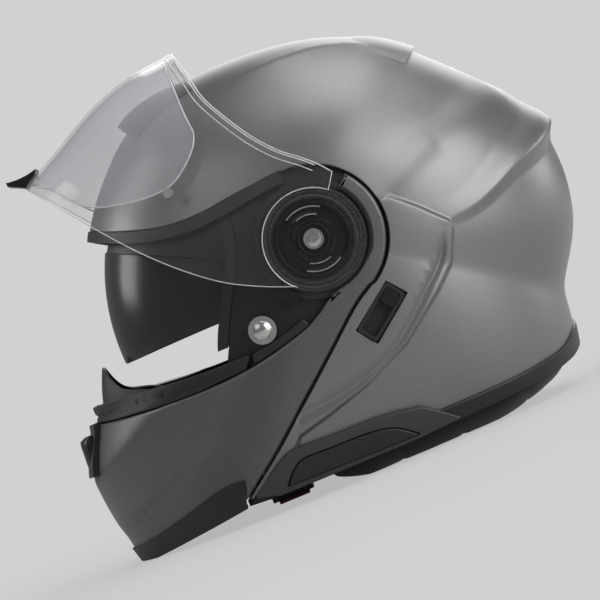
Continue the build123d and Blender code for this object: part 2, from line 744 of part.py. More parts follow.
def make_cheek_pad():
    """The thick cheek cushion: its back follows the side plate and its face swells towards the cheek."""
    low_x, low_z = side_place(*cheek_low_share)
    high_x, high_z = side_place(*cheek_high_share)
    across = steps(low_x, high_x, 18)
    up = steps(low_z, high_z, 18)
    outer = []
    inner = []
    for x in across:
        along = 2 * (x - low_x) / (high_x - low_x) - 1
        outer_row = []
        inner_row = []
        for z in up:
            rise = 2 * (z - low_z) / (high_z - low_z) - 1
            back = side_reach(x, z, shell_half_width - cheek_backing_inset, cheek_backing_inset)
            roll = cheek_edge_roll * (along ** 4 + rise ** 4) / 2
            outer_row.append(Vector(x, -back, z))
            inner_row.append(Vector(x, -cheek_face - roll, z))
        outer.append(outer_row)
        inner.append(inner_row)
    block = solid_between(outer, inner, surface_closeness)
    corner = shell_radius * cheek_corner_share
    outline = Face(Wire.make_polygon([Vector(low_x, 0, low_z), Vector(high_x, 0, low_z), Vector(high_x, 0, high_z),
                                      Vector(low_x, 0, high_z)]))
    outline = outline.fillet_2d(corner, outline.vertices())
    prism = Solid.extrude(outline.moved(Location((0, -shell_half_width, 0))), Vector(0, shell_half_width, 0))
    return block & prism


roll_sections = 30
roll_end_turn = 116.0
roll_rise = 14.0
roll_flat_end_share = 0.42
roll_top_share = 0.9
roll_end_share = 0.55
roll_room = 3.4


def roll_height_at(x):
    """The height of the roll's middle: level at the front, rising to the back."""
    rise = max(0.0, (x - hinge_offset) / shell_radius - roll_flat_end_share) / (roll_top_share - roll_flat_end_share)
    return roll_rise * min(1.0, rise) ** 2 + roll_height / 2 - floor_cut


def roll_middle(turn):
    """The middle of one section of the roll, inside the rear trim, at an angle in the plan view."""
    inset = trim_root + roll_width / 2 + roll_room
    heading = math.radians(turn)
    low = 0.0
    high = 2 * shell_radius
    for attempt in range(40):
        reach = (low + high) / 2
        x = hinge_offset + reach * math.cos(heading)
        side = side_reach(x, roll_height_at(x), shell_half_width - inset, inset)
        if abs(reach * math.sin(heading)) < side:
            low = reach
        else:
            high = reach
    return Vector(x, reach * math.sin(heading), roll_height_at(x))


def make_neck_roll():
    """The padded roll round the neck opening, cut flat where it stands on the floor."""
    centres = [roll_middle(turn) for turn in steps(-roll_end_turn, roll_end_turn, roll_sections)]
    wires = []
    for index, centre in enumerate(centres):
        ahead = centres[min(index + 1, len(centres) - 1)]
        behind = centres[max(index - 1, 0)]
        path = (ahead - behind).normalized()
        end_share = roll_end_share if index in (0, len(centres) - 1) else 1.0
        plane = Plane(origin=centre, x_dir=Vector(0, 0, 1).cross(path), z_dir=path)
        section = Edge.make_ellipse(roll_width / 2 * end_share, roll_height / 2 * end_share, plane)
        wires.append(Wire([section]))
    roll = Solid.make_loft(wires)
    return roll & box_between((-2 * shell_radius, -2 * shell_radius, 0), (2 * shell_radius, 2 * shell_radius, overrun))


# Gaskets
gasket_wall = 6.0
brow_gasket_wall = 4.2
gasket_stand = 1.0
gasket_height = 7.5
gasket_front_share = -1.3
pillar_gasket_width = 7.0
chin_gasket_wall = 5.0
chin_gasket_inset = 0.6
chin_gasket_top_shares = [(-1.385, -0.345), (-1.102, -0.35), (-0.861, -0.374), (-0.71, -0.386), (-0.48, -0.388)]


def band(upper, lower):
    """An outline in the side view between two open runs that go the same way."""
    lower_back = list(reversed(lower))
    return [upper, [upper[-1], lower_back[0]], lower_back, [lower_back[-1], upper[0]]]


def make_eyeport_gasket():
    """The rubber edge of the eyeport: over the brow and down in front of each side plate."""
    upper = [(x, z - seat_gap) for x, z in brow_line]
    lower = [(x, z - gasket_height) for x, z in upper]
    front = side_place(gasket_front_share, brow_line_shares[0][1])
    front_high = (front[0], upper[0][1])
    front_low = (front[0], lower[0][1])
    back = list(reversed(lower))
    outline = [[front_high, upper[0]], upper, [upper[-1], lower[-1]], back, [lower[0], front_low],
               [front_low, front_high]]
    brow = bulge(shell_shares, cross_powers, shell_half_width, -gasket_stand, gasket_stand + brow_gasket_wall,
                 rows(90, 159))
    brow = brow & side_prism(outline)
    low_x, high_x, low_z, high_z = side_window()
    sheet = side_sheet(steps(low_x, high_x, side_plate_columns), steps(low_z, high_z, side_plate_columns),
                       side_plate_inset - gasket_stand, gasket_wall)
    line = places(pillar_shares)[:4]
    edge = [(x - seat_gap, z) for x, z in line]
    front = [(x - pillar_gasket_width, z) for x, z in edge]
    pillar = sheet & side_prism(band(edge, front))
    below = [lower, [lower[-1], (lower[-1][0], low_z)], [(lower[-1][0], low_z), (low_x, low_z)],
             [(low_x, low_z), lower[0]]]
    pillar = pillar & side_prism(below)
    return brow + (pillar - brow) + (other_side(pillar) - brow)


def make_chin_bar_gasket():
    """The rubber lip along the top of the chin bar that the closed visor rests on."""
    lower = [(x, z + seat_gap) for x, z in chin_top[:4]]
    upper = places(chin_gasket_top_shares)
    lip = bulge(chin_shares, cross_powers, arm_half_width, chin_gasket_inset, chin_gasket_wall, chin_angles)
    return lip & side_prism(band(upper, lower))


# Trims
trim_stand = 2.2
trim_root = 5.5
rear_trim_top_shares = [(-0.44, -0.978), (0.248, -0.98), (0.556, -0.978), (0.769, -0.967), (0.945, -0.936),
                        (1.08, -0.842), (1.3, -0.7)]
rear_trim_bottom_shares = [(-0.44, -1.06), (0.248, -1.06), (0.556, -1.054), (0.769, -1.042), (0.945, -1.013),
                           (1.033, -0.972), (1.118, -0.93), (1.35, -0.8)]
chin_trim_stand = 1.6
chin_trim_root = 22.0
chin_trim_floor = 3.2
trim_gap = 0.5
trim_core_share = (-0.7, -1.045)
chin_trim_front_share = -1.6
chin_trim_toe_share = -1.29
chin_trim_heel_share = (-0.775, -1.062)
chin_trim_top_shares = [(-1.6, -1.07), (-1.294, -1.044), (-0.946, -0.951), (-0.8, -0.925), (-0.745, -0.93)]


def make_rear_trim():
    """The dark moulding over the shell's lower rim, from the intercom cover round the back."""
    cover = bulge(shell_shares, cross_powers, shell_half_width, -trim_stand, trim_stand + trim_root,
                  rows(-126, -15))
    strip = cover & side_prism(band(places(rear_trim_top_shares), places(rear_trim_bottom_shares)))
    core = bulge(shell_shares, cross_powers, shell_half_width, -seat_gap, shell_wall + 2 * seat_gap,
                 rows(-129, -12))
    low = [(x, z - seat_gap) for x, z in shell_bottom]
    front = side_place(*trim_core_share)
    core_outline = [[front, low[0]], low, [low[-1], side_place(rear_limit_share, 0)],
                    [side_place(rear_limit_share, 0), side_place(trim_core_share[0], 0)]]
    strip = strip - (core & side_prism(core_outline))
    return max(strip.solids(), key=lambda solid: solid.volume)


def make_chin_bar_bottom_trim():
    """The black moulding under the chin bar, flat where the helmet stands on it."""
    side = bulge(chin_shares, cross_powers, arm_half_width, -chin_trim_stand, chin_trim_stand - trim_gap,
                 rows(-165, -111))
    floor = bulge(chin_shares, cross_powers, arm_half_width, -chin_trim_stand, chin_trim_stand + chin_trim_root,
                  rows(-165, -111))
    upper = places(chin_trim_top_shares)
    bottom = hinge_height + shell_radius * chin_rim_drop_share - seat_gap
    front = side_place(chin_trim_front_share, 0)[0]
    rear_x, rear_z = side_place(*chin_low_rear_share)
    rise = [(front, bottom), (side_place(*chin_low_front_share)[0], bottom), (rear_x, rear_z - seat_gap)]
    low = [(front, 0), (side_place(chin_trim_toe_share, 0)[0], 0), side_place(*chin_trim_heel_share)]
    foot = [[low[2], low[1]], [low[1], low[0]]]
    tall = [upper, [upper[-1], low[2]]] + foot
    flat = [[rise[0], rise[1]], [rise[1], rise[2]], [rise[2], low[2]]] + foot + [[low[0], rise[0]]]
    return (side & side_prism(tall)) + (floor & side_prism(flat)) - release_well()


# Chin bar release
button_length = 30.0
button_depth = 9.0
button_height = 6.0
button_travel = 3.0
button_gap = 0.4
button_lift = 0.6
button_groove_width = 1.2
button_groove_depth = 0.6
button_groove_step = 2.4
button_place_share = -1.31


def button_box(margin, low, high):
    x = side_place(button_place_share, 0)[0]
    return box_between((x - button_depth / 2 - margin, -button_length / 2 - margin, low),
                       (x + button_depth / 2 + margin, button_length / 2 + margin, high))


def release_well():
    return button_box(button_gap, -overrun, chin_trim_floor + overrun)


def make_release_button():
    """The button under the chin that opens both hooks; it is pressed upwards."""
    cap = button_box(0, button_lift, button_lift + button_height)
    cap = cap.fillet(button_depth / 5, cap.edges().filter_by(Axis.Z))
    middle = side_place(button_place_share, 0)[0]
    for row in (-1, 0, 1):
        low = middle + row * button_groove_step - button_groove_width / 2
        cap = cap - box_between((low, -button_length / 3, 0),
                                (low + button_groove_width, button_length / 3, button_lift + button_groove_depth))
    return cap


hook_pivot_share = (-0.6, -0.54)
hook_outline_shares = [(-0.64, -0.57), (-0.57, -0.585), (-0.5, -0.54), (-0.452, -0.5), (-0.462, -0.48),
                       (-0.49, -0.472), (-0.53, -0.5), (-0.6, -0.495), (-0.65, -0.52)]
hook_room = 0.9
hook_inset = chin_wall + hook_room
hook_plate_wall = 1.6
hook_pivot_radius = 2.2
hook_pivot_gap = 0.12
rivet_start = 0.05
rivet_end = 0.3


def arm_place(share_x, share_z):
    """A point on the chin bar's painted side at the rider's left, and the direction out of the surface there."""
    x, z = side_place(share_x, share_z)
    shell_reach = math.hypot(x - hinge_offset, z - hinge_height)

    def reach_at(px, pz):
        reach = math.hypot(px - hinge_offset, pz - hinge_height)
        angle = math.degrees(math.atan2(pz - hinge_height, px - hinge_offset))
        power = cross_powers(angle)
        return arm_half_width * (1 - (reach / (shell_radius * chin_shares(angle))) ** power) ** (1 / power)

    small = shell_reach / 100
    slope_x = (reach_at(x + small, z) - reach_at(x - small, z)) / (2 * small)
    slope_z = (reach_at(x, z + small) - reach_at(x, z - small)) / (2 * small)
    return Vector(x, -reach_at(x, z), z), Vector(-slope_x, -1, -slope_z).normalized()


def make_latch_hook():
    """The flat steel hook inside the arm, drawn back from the latch pin."""
    sheet = bulge(chin_shares, cross_powers, arm_half_width, hook_inset, hook_plate_wall, rows(-159, -120))
    rim = places(hook_outline_shares)
    plate = sheet & side_prism([rim, [rim[-1], rim[0]]], -arm_half_width, 0)
    point, normal = arm_place(*hook_pivot_share)
    bore = Solid.make_cylinder(hook_pivot_radius, 2 * overrun, Plane(origin=point + normal * overrun,
                                                                     z_dir=normal * -1))
    return plate - bore


def make_latch_rivet():
    """The rivet in the arm that the hook turns on."""
    point, normal = arm_place(*hook_pivot_share)
    start = point - normal * (chin_wall + rivet_start)
    depth = hook_inset - chin_wall + hook_plate_wall + rivet_end
    return Solid.make_cylinder(hook_pivot_radius - hook_pivot_gap, depth, Plane(origin=start, z_dir=normal * -1))


# Chin bar liner, vent and breath guard
chin_liner_wall = 16.0
chin_liner_shares = [(-1.7, -0.47), (-1.2, -0.48), (-0.86, -0.52)]
chin_liner_low_shares = [(-0.86, -0.88), (-1.2, -0.98), (-1.7, -1.02)]
vent_stand = 4.5
vent_wall = 9.5
vent_width = 64.0
vent_high_share = -0.42
vent_low_share = -0.66
vent_slot_high_share = -0.505
vent_slot_low_share = -0.565
vent_slot_width = 46.0
vent_rib = 4.0
collar_low_share = -0.625
collar_high_share = -0.475
shutter_wall = 1.6
shutter_low_share = -0.493
shutter_high_share = -0.433
slab_back_share = -1.1
liner_vent_front_share = -1.7
liner_vent_back_share = -1.0


def chin_slab(outer_inset, wall, low_share, high_share, width):
    """A piece of the chin bar's wall line between two heights, over a width about the middle."""
    slab = bulge(chin_shares, cross_powers, arm_half_width, outer_inset, wall, rows(-168, -141))
    outline = [[side_place(front_limit_share, low_share), side_place(slab_back_share, low_share)],
               [side_place(slab_back_share, high_share), side_place(front_limit_share, high_share)]]
    return slab & side_prism(outline, -width / 2, width / 2)


def make_chin_bar_liner():
    """The foam inside the front of the chin bar."""
    foam = bulge(chin_shares, cross_powers, arm_half_width, chin_wall + seat_gap, chin_liner_wall,
                 rows(-168, -123))
    high = places(chin_liner_shares)
    low = places(chin_liner_low_shares)
    foam = foam & side_prism([high, [high[-1], low[0]], low, [low[-1], high[0]]])
    front, low = side_place(liner_vent_front_share, vent_low_share)
    back, high = side_place(liner_vent_back_share, vent_high_share)
    return foam - box_between((front, -vent_slot_width / 2, low), (back, vent_slot_width / 2, high))


def make_chin_vent_housing():
    """The black intake on the front of the chin bar."""
    cover = chin_slab(-vent_stand, vent_stand - seat_gap / 2, vent_low_share, vent_high_share, vent_width)
    collar = chin_slab(-vent_stand, vent_wall, collar_low_share, collar_high_share, chin_vent_width - 2 * seat_gap)
    slot = chin_slab(-2 * vent_stand, 4 * vent_wall, vent_slot_low_share, vent_slot_high_share,
                     vent_slot_width - 2 * vent_rib)
    return cover + collar - slot


def make_chin_vent_shutter():
    """The slide behind the intake's slot; it is lowered to close the slot."""
    return chin_slab(vent_wall - vent_stand + seat_gap, shutter_wall, shutter_low_share, shutter_high_share,
                     vent_slot_width - 2.5 * vent_rib)


guard_wall = 2.0
guard_half_width = 58.0
guard_front_share = -1.306
guard_base_share = -0.4
guard_peak_share = -0.17
guard_end_share = 0.3
guard_peak_spread = 0.42
guard_bow_share = 0.24
guard_lean_share = 0.045
guard_curl_share = 0.03


def make_breath_guard():
    """The rubber breath guard that rises from the chin bar to the nose."""
    front = []
    back = []
    for column in steps(-1, 1, 24):
        side = guard_half_width * column
        front_row = []
        back_row = []
        for rise in steps(0, 1, 6):
            base_z = hinge_height + shell_radius * guard_base_share
            swell = guard_end_share + (1 - guard_end_share) * math.exp(-(column / guard_peak_spread) ** 2)
            peak = shell_radius * (guard_peak_share - guard_base_share) * swell
            bow = shell_radius * guard_bow_share * abs(column) ** 2.2
            lean = shell_radius * (guard_lean_share * rise + guard_curl_share * rise * rise)
            x = hinge_offset + shell_radius * guard_front_share + bow + lean
            z = base_z + peak * rise
            front_row.append(Vector(x, side, z))
            back_row.append(Vector(x + guard_wall, side, z))
        front.append(front_row)
        back.append(back_row)
    guard = solid_between(front, back, surface_closeness)
    room = chin_gasket_inset + chin_gasket_wall + 2 * seat_gap
    guard = guard - bulge(chin_shares, cross_powers, arm_half_width, -trim_root, trim_root + room,
                          rows(-168, -147))
    return max(guard.solids(), key=lambda solid: solid.volume)


# Intercom covers
frame_stand = 4.2
frame_root = 0.2
frame_outline_shares = [(-0.735, -1.03), (-0.6, -0.94), (-0.508, -0.893), (-0.455, -0.885), (-0.265, -0.892),
                        (-0.028, -0.898), (0.127, -0.921), (0.191, -0.943), (0.338, -1.055)]
frame_low_shares = [(0.1, -1.066), (-0.6, -1.066)]
cover_stand = 5.4
cover_outline_shares = [(-0.56, -1.035), (-0.5, -0.97), (-0.439, -0.941), (-0.306, -0.942), (-0.103, -0.948),
                        (0.019, -0.975), (0.116, -1.045)]
cover_gap = 0.25


def side_cap(stand, wall, outline, low, high):
    cap = bulge(shell_shares, cross_powers, shell_half_width, -stand, wall, rows(-129, -60))
    return cap & side_prism(outline, low, high)


def frame_hole(margin):
    """The outline of the frame's opening, drawn in by a margin."""
    rim = shifted(places(cover_outline_shares), margin)
    rim[0] = (rim[0][0], rim[0][1] + margin)
    rim[-1] = (rim[-1][0], rim[-1][1] + margin)
    return [rim, [rim[-1], rim[0]]]


def make_comm_cover_frame():
    """The dark frame on the lower side that an intercom unit clips into."""
    rim = places(frame_outline_shares)
    low = places(frame_low_shares)
    outline = [rim, [rim[-1], low[0]], [low[0], low[1]], [low[1], rim[0]]]
    frame = side_cap(frame_stand, frame_stand - trim_stand - seat_gap, outline, -2 * shell_radius, 0)
    return frame - side_prism(frame_hole(0), -2 * shell_radius, 0)


def make_comm_cover():
    """The cover that closes the frame."""
    return side_cap(cover_stand, cover_stand - trim_stand - seat_gap, frame_hole(cover_gap), -2 * shell_radius, 0)


# Sun visor lever
lever_travel = 20.0
lever_stand = 0.2
lever_sink = 1.3
bezel_rim = 2.2
bezel_stand = 0.8
bezel_depth = 7.0
bezel_floor = 2.0


def slot_frame():
    """The slot's middle, and its directions along and across, in the side view."""
    corners = places(slot_shares)
    start = ((corners[0][0] + corners[1][0]) / 2, (corners[0][1] + corners[1][1]) / 2)
    end = ((corners[2][0] + corners[3][0]) / 2, (corners[2][1] + corners[3][1]) / 2)
    length = math.hypot(end[0] - start[0], end[1] - start[1])
    along = ((end[0] - start[0]) / length, (end[1] - start[1]) / length)
    width = math.hypot(corners[1][0] - corners[0][0], corners[1][1] - corners[0][1])
    return start, along, length, width


def slot_outline(from_start, to_start, half):
    start, along, length, width = slot_frame()
    across = (-along[1], along[0])
    corners = []
    for run, side in ((from_start, -1), (to_start, -1), (to_start, 1), (from_start, 1)):
        corners.append(Vector(start[0] + along[0] * run + across[0] * half * side, 0,
                              start[1] + along[1] * run + across[1] * half * side))
    outline = Face(Wire.make_polygon(corners))
    return outline.fillet_2d(half / 3, outline.vertices())


def slot_cutter(margin, low, high):
    start, along, length, width = slot_frame()
    outline = slot_outline(-margin, length + margin, width / 2 + margin)
    return Solid.extrude(outline.moved(Location((0, low, 0))), Vector(0, high - low, 0))


def panel_reach():
    start, along, length, width = slot_frame()
    x = start[0] + along[0] * length / 2
    z = start[1] + along[1] * length / 2
    return side_reach(x, z, shell_half_width + plateau_height, -plateau_height)


def make_lever_bezel():
    """The black bezel let into the raised panel, with the lever's slot."""
    outer = -panel_reach() - bezel_stand
    body = slot_cutter(0, outer, outer + bezel_depth)
    return body - slot_cutter(-bezel_rim, outer - overrun, outer + bezel_depth - bezel_floor)


def make_sun_visor_lever():
    """The grip that slides down the slot and lifts the sun visor by a cable."""
    start, along, length, width = slot_frame()
    half = width / 2 - bezel_rim - seat_gap
    low = -panel_reach() - bezel_stand - lever_stand - lever_sink / 2
    high = -panel_reach() - bezel_stand + bezel_depth - bezel_floor - seat_gap
    outline = slot_outline(bezel_rim + seat_gap, length - bezel_rim - seat_gap - lever_travel, half)
    return Solid.extrude(outline.moved(Location((0, low, 0))), Vector(0, high - low, 0))


# Top vents
hood_stand = 6.5
hood_half_width = 58.0
hood_start = 106.0
hood_end = 127.0
hood_wall = 2.2
hood_foot = 0.8
hood_sink = 2.0
hood_room = 4.0
hood_columns = 28
outlet_start = 40.0
outlet_end = 57.0
outlet_half_width = 60.0
outlet_stand = 4.6
vent_plate_inset = 0.8
vent_plate_wall = 1.6


def hood_grid(height_at, start, end, half_width, sink):
    rows = []
    for angle in steps(start, end, 14):
        row = []
        along = (angle - start) / (end - start)
        for column in steps(-1, 1, hood_columns):
            side = half_width * column
            radius = shell_radius * shell_shares(angle)
            reach = radius * (1 - (abs(side) / shell_half_width) ** even_power) ** (1 / even_power)
            reach = reach + height_at(along, abs(column)) - sink
            heading = math.radians(angle)
            row.append(Vector(hinge_offset + reach * math.cos(heading), side,
                              hinge_height + reach * math.sin(heading)))
        rows.append(row)
    return rows


def intake_height(along, across):
    """The hood swells from nothing at its back to a lip at its front edge."""
    swell = math.sin(math.pi / 2 * min(1.0, along / 0.85)) ** 1.3
    return hood_foot + hood_stand * swell * (1 - across ** 4)


def outlet_height(along, across):
    """The cover is low at the front and steps up towards the back."""
    return hood_foot + outlet_stand * (1 - along) ** 0.7 * (1 - across ** 6)


def zero_height(along, across):
    return 0.0


def make_intake_hood():
    """The hood over the brow intake, open to the front."""
    outer = hood_grid(intake_height, hood_start, hood_end, hood_half_width, 0)
    inner = hood_grid(zero_height, hood_start, hood_end, hood_half_width, -seat_gap)
    hood = solid_between(outer, inner, surface_closeness)
    half = intake_slot_width / 2 + hood_room
    room = hood_grid(intake_height, intake_low_angle - 2, hood_end + 8, half, hood_wall)
    base = hood_grid(zero_height, intake_low_angle - 2, hood_end + 8, half, hood_sink)
    return hood - solid_between(room, base, surface_closeness)


def make_outlet_cover():
    """The cover over the top vent, open towards the back."""
    outer = hood_grid(outlet_height, outlet_start, outlet_end, outlet_half_width, 0)
    inner = hood_grid(zero_height, outlet_start, outlet_end, outlet_half_width, -seat_gap)
    cover = solid_between(outer, inner, surface_closeness)
    room = hood_grid(outlet_height, outlet_start - 6, outlet_end - 5, outlet_slot_width / 2, hood_wall)
    base = hood_grid(zero_height, outlet_start - 6, outlet_end - 5, outlet_slot_width / 2, hood_sink)
    return cover - solid_between(room, base, surface_closeness)


def vent_shutter(low_angle, high_angle, width):
    """A thin plate under the shell's slot that slides sideways to open it."""
    plate = bulge(shell_shares, cross_powers, shell_half_width, vent_plate_inset, vent_plate_wall,
                  steps(low_angle - 12, high_angle + 12, 12))
    return plate & wedge(low_angle + 0.8, high_angle - 0.8, width)


# Chin strap and buckle
strap_width = 22.0
strap_wall = 1.8
strap_mid_share = -0.56
strap_left_shares = [(-0.7717, 0.2283), (-0.7677, 0.1417), (-0.7087, 0.063), (-0.5512, 0.0457), (-0.378, 0.0425)]
strap_right_shares = [(0.7717, 0.2283), (0.7677, 0.1417), (0.7087, 0.063), (0.4724, 0.0441), (0.2362, 0.0425),
                      (0.063, 0.0425)]
strap_left_places = [(shell_radius * y, shell_radius * z) for y, z in strap_left_shares]
strap_right_places = [(shell_radius * y, shell_radius * z) for y, z in strap_right_shares]
strap_pad_left_span = (0.34, 0.9)
strap_pad_right_span = (0.24, 0.62)
strap_sections = 16
strap_pad_wall = 4.0
strap_pad_width = 28.0
buckle_low = 3.4
buckle_high = 9.4
buckle_start = -47.6
buckle_end = -10.0
buckle_width = 27.0
tongue_wall = 1.6
tongue_width = 14.0
tongue_end = 7.6
tongue_start = -34.0
red_lever_wall = 1.8
red_lever_width = 20.0
red_lever_gap = 0.35
anchor_wall = 1.5
anchor_rivet_radius = 3.5
anchor_drop = 4.0
anchor_rise = 3.0
buckle_corner = 2.4
buckle_slot_gap = 0.4
buckle_slot_end = 3.0
red_lever_corner = 2.0
red_lever_start = 2.0
red_lever_end = 1.0
tooth_start = 2.0
tooth_end = -14.0
tooth_width = 1.0


def strap_run(corners, start=0.0, end=1.0):
    """Places along the smooth path of a strap, from one share of its length to another."""
    path = Edge.make_spline([Vector(0, y, z) for y, z in corners])
    points = [path.position_at(share) for share in steps(start, end, strap_sections)]
    return [(point.Y, point.Z) for point in points]


def strap_strip(run, wall, width):
    """A strip of an even thickness that follows a run of places in the front view, with its width along X."""
    near = strap_middle() - width / 2
    edges = []
    for line in (shifted(run, -wall / 2), list(reversed(shifted(run, wall / 2)))):
        edges.append(Edge.make_spline([Vector(near, y, z) for y, z in line]))
    outline = Wire([edges[0], Edge.make_line(edges[0].position_at(1), edges[1].position_at(0)), edges[1],
                    Edge.make_line(edges[1].position_at(1), edges[0].position_at(0))])
    return Solid.extrude(Face(outline), Vector(width, 0, 0))


def strap_middle():
    return side_place(strap_mid_share, 0)[0]


def make_chin_strap_left():
    return strap_strip(strap_run(strap_left_places), strap_wall, strap_width)


def make_chin_strap_right():
    return strap_strip(strap_run(strap_right_places), strap_wall, strap_width)


def make_strap_pad(corners, span, side):
    """The soft sleeve that lies on the strap against the throat."""
    lift = (strap_wall + strap_pad_wall) / 2 + seat_gap
    run = shifted(strap_run(corners, span[0], span[1]), lift * side)
    return strap_strip(run, strap_pad_wall, strap_pad_width)


def make_strap_pad_left():
    return make_strap_pad(strap_left_places, strap_pad_left_span, -1)


def make_strap_pad_right():
    return make_strap_pad(strap_right_places, strap_pad_right_span, 1)


def make_strap_anchor():
    """The steel plate and rivet that hold the strap to the side plate."""
    x = strap_middle()
    y, z = strap_left_places[0]
    inner = y - strap_wall / 2 - 3 * seat_gap
    outer = -side_reach(x, z, shell_half_width - side_plate_inset - side_plate_wall,
                        side_plate_inset + side_plate_wall)
    plate = box_between((x - strap_width / 2, inner - anchor_wall, z - anchor_drop),
                        (x + strap_width / 2, inner, z + anchor_rise))
    rivet = disc(anchor_rivet_radius, outer + 3 * seat_gap, inner - anchor_wall / 2, (x, z))
    return plate + rivet


def make_buckle_body():
    """The ratchet buckle at the end of the left strap, open at one end for the tongue."""
    x = strap_middle()
    body = box_between((x - buckle_width / 2, buckle_start, buckle_low),
                       (x + buckle_width / 2, buckle_end, buckle_high))
    body = body.fillet(buckle_corner, body.edges().filter_by(Axis.Z))
    middle = strap_left_places[-1][1]
    half = tongue_width / 2 + buckle_slot_gap
    rise = tongue_wall / 2 + buckle_slot_gap
    return body - box_between((x - half, buckle_start + buckle_slot_end, middle - rise),
                              (x + half, buckle_end + buckle_slot_end, middle + rise))


def make_ratchet_tongue():
    """The toothed tongue on the right strap."""
    x = strap_middle()
    middle = strap_right_places[-1][1]
    tongue = box_between((x - tongue_width / 2, tongue_start, middle - tongue_wall / 2),
                         (x + tongue_width / 2, tongue_end, middle + tongue_wall / 2))
    for place in steps(tongue_start + tooth_start, tooth_end, 9):
        tooth = box_between((x - tongue_width / 3, place, middle - tongue_wall),
                            (x + tongue_width / 3, place + tooth_width, middle - tongue_wall / 4))
        tongue = tongue - tooth
    return tongue


def make_buckle_lever():
    """The red release lever under the buckle, hinged at its outer end."""
    x = strap_middle()
    high = buckle_low - red_lever_gap
    lever = box_between((x - red_lever_width / 2, buckle_start + red_lever_start, high - red_lever_wall),
                        (x + red_lever_width / 2, buckle_end - red_lever_end, high))
    return lever.fillet(red_lever_corner, lever.edges().filter_by(Axis.Z))


def make_intake_shutter():
    return vent_shutter(intake_low_angle, intake_high_angle, intake_slot_width * 0.94)


def make_outlet_shutter():
    return vent_shutter(outlet_low_angle, outlet_high_angle, outlet_slot_width * 0.94)


def half_shutter(plate, width):
    """The half of a vent plate at the rider's left."""
    left = box_between((-4 * shell_radius, -width / 2, 0), (4 * shell_radius, -seat_gap, 4 * shell_radius))
    return plate & left


# The pieces, by name
for name, piece in (("side_plate", make_side_plate()), ("latch_pin", make_latch_pin()),
                    ("hinge_screw", make_hinge_screw()), ("visor_base_plate", make_visor_base_plate()),
                    ("visor_release_tab", make_visor_release_tab()), ("cheek_pad", make_cheek_pad()),
                    ("latch_hook", make_latch_hook()), ("latch_rivet", make_latch_rivet()),
                    ("comm_cover_frame", make_comm_cover_frame()), ("comm_cover", make_comm_cover()),
                    ("strap_anchor", make_strap_anchor())):
    save(piece, name + "_left")
    save(other_side(piece), name + "_right")

save(make_outer_shell(), "outer_shell")
save(make_impact_liner(), "impact_liner")
save(make_crown_pad(), "crown_pad")
save(make_neck_roll(), "neck_roll")
save(make_eyeport_gasket(), "eyeport_gasket")
save(make_rear_trim(), "rear_trim")
save(make_intake_hood(), "intake_hood")
save(half_shutter(make_intake_shutter(), intake_slot_width), "intake_shutter")
save(make_outlet_cover(), "outlet_cover")
save(half_shutter(make_outlet_shutter(), outlet_slot_width), "outlet_shutter")
save(make_lever_bezel(), "lever_bezel")
save(make_sun_visor_lever(), "sun_visor_lever")
save(make_sun_visor(), "sun_visor")
save(make_sun_visor_pivots(), "sun_visor_pivots")
save(make_chin_bar(), "chin_bar")
save(make_chin_bar_liner(), "chin_bar_liner")
save(make_chin_bar_gasket(), "chin_bar_gasket")
save(make_chin_bar_bottom_trim(), "chin_bar_bottom_trim")
save(make_chin_vent_housing(), "chin_vent_housing")
save(make_chin_vent_shutter(), "chin_vent_shutter")
save(make_breath_guard(), "breath_guard")
save(make_release_button(), "release_button")
save(make_visor(), "visor")
save(make_anti_fog_insert(), "anti_fog_insert")
save(make_insert_pins(), "insert_pins")
save(make_visor_tab(), "visor_tab")
save(make_chin_strap_left(), "chin_strap_left")
save(make_chin_strap_right(), "chin_strap_right")
save(make_strap_pad_left(), "strap_pad_left")
save(make_strap_pad_right(), "strap_pad_right")
save(make_buckle_body(), "buckle_body")
save(make_ratchet_tongue(), "ratchet_tongue")
save(make_buckle_lever(), "buckle_lever")
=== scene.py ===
import math
from collections import Counter

import bmesh
import bpy
import numpy as np
from mathutils import Matrix, Vector, geometry


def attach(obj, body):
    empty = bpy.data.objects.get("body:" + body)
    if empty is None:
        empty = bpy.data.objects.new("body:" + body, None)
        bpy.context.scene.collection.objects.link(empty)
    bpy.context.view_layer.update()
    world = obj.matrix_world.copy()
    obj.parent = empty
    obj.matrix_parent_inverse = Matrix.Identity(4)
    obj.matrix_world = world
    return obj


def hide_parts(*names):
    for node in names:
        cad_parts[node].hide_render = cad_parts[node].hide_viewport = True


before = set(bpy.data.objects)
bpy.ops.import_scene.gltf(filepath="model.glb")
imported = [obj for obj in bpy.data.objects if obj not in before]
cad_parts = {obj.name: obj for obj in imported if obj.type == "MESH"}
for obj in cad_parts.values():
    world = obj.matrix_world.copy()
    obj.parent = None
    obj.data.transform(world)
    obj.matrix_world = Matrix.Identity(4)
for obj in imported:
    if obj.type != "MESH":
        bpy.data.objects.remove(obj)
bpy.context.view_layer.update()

# The studio: a pale grey sweep under and behind the helmet, big soft lamps, and the camera square to the
# rider's left side, rolled so that the helmet hangs chin down as in the photograph.
millimetre = 0.001
scene = bpy.context.scene
scene.view_settings.view_transform = "Standard"
view_right = Vector((0.9238, 0.0, -0.3829))
view_up = Vector((0.3829, 0.0, 0.9238))
view_back = Vector((0.0, -1.0, 0.0))
view_centre = Vector((-0.0118, 0.0, 0.1139))
camera_distance = 2.2
field_width = 0.3798
sensor_width = 36.0
far_clip = 20.0
background_level = 0.638
seen_grey = (background_level, background_level, background_level, 1.0)
room_grey = (0.5, 0.5, 0.51, 1.0)
room_strength = 0.36


def add_object(name, data):
    """A new object in the scene."""
    piece = bpy.data.objects.new(name, data)
    scene.collection.objects.link(piece)
    return piece


def set_values(node, values):
    """Sets the inputs of a node."""
    for entry, value in values.items():
        node.inputs[entry].default_value = value


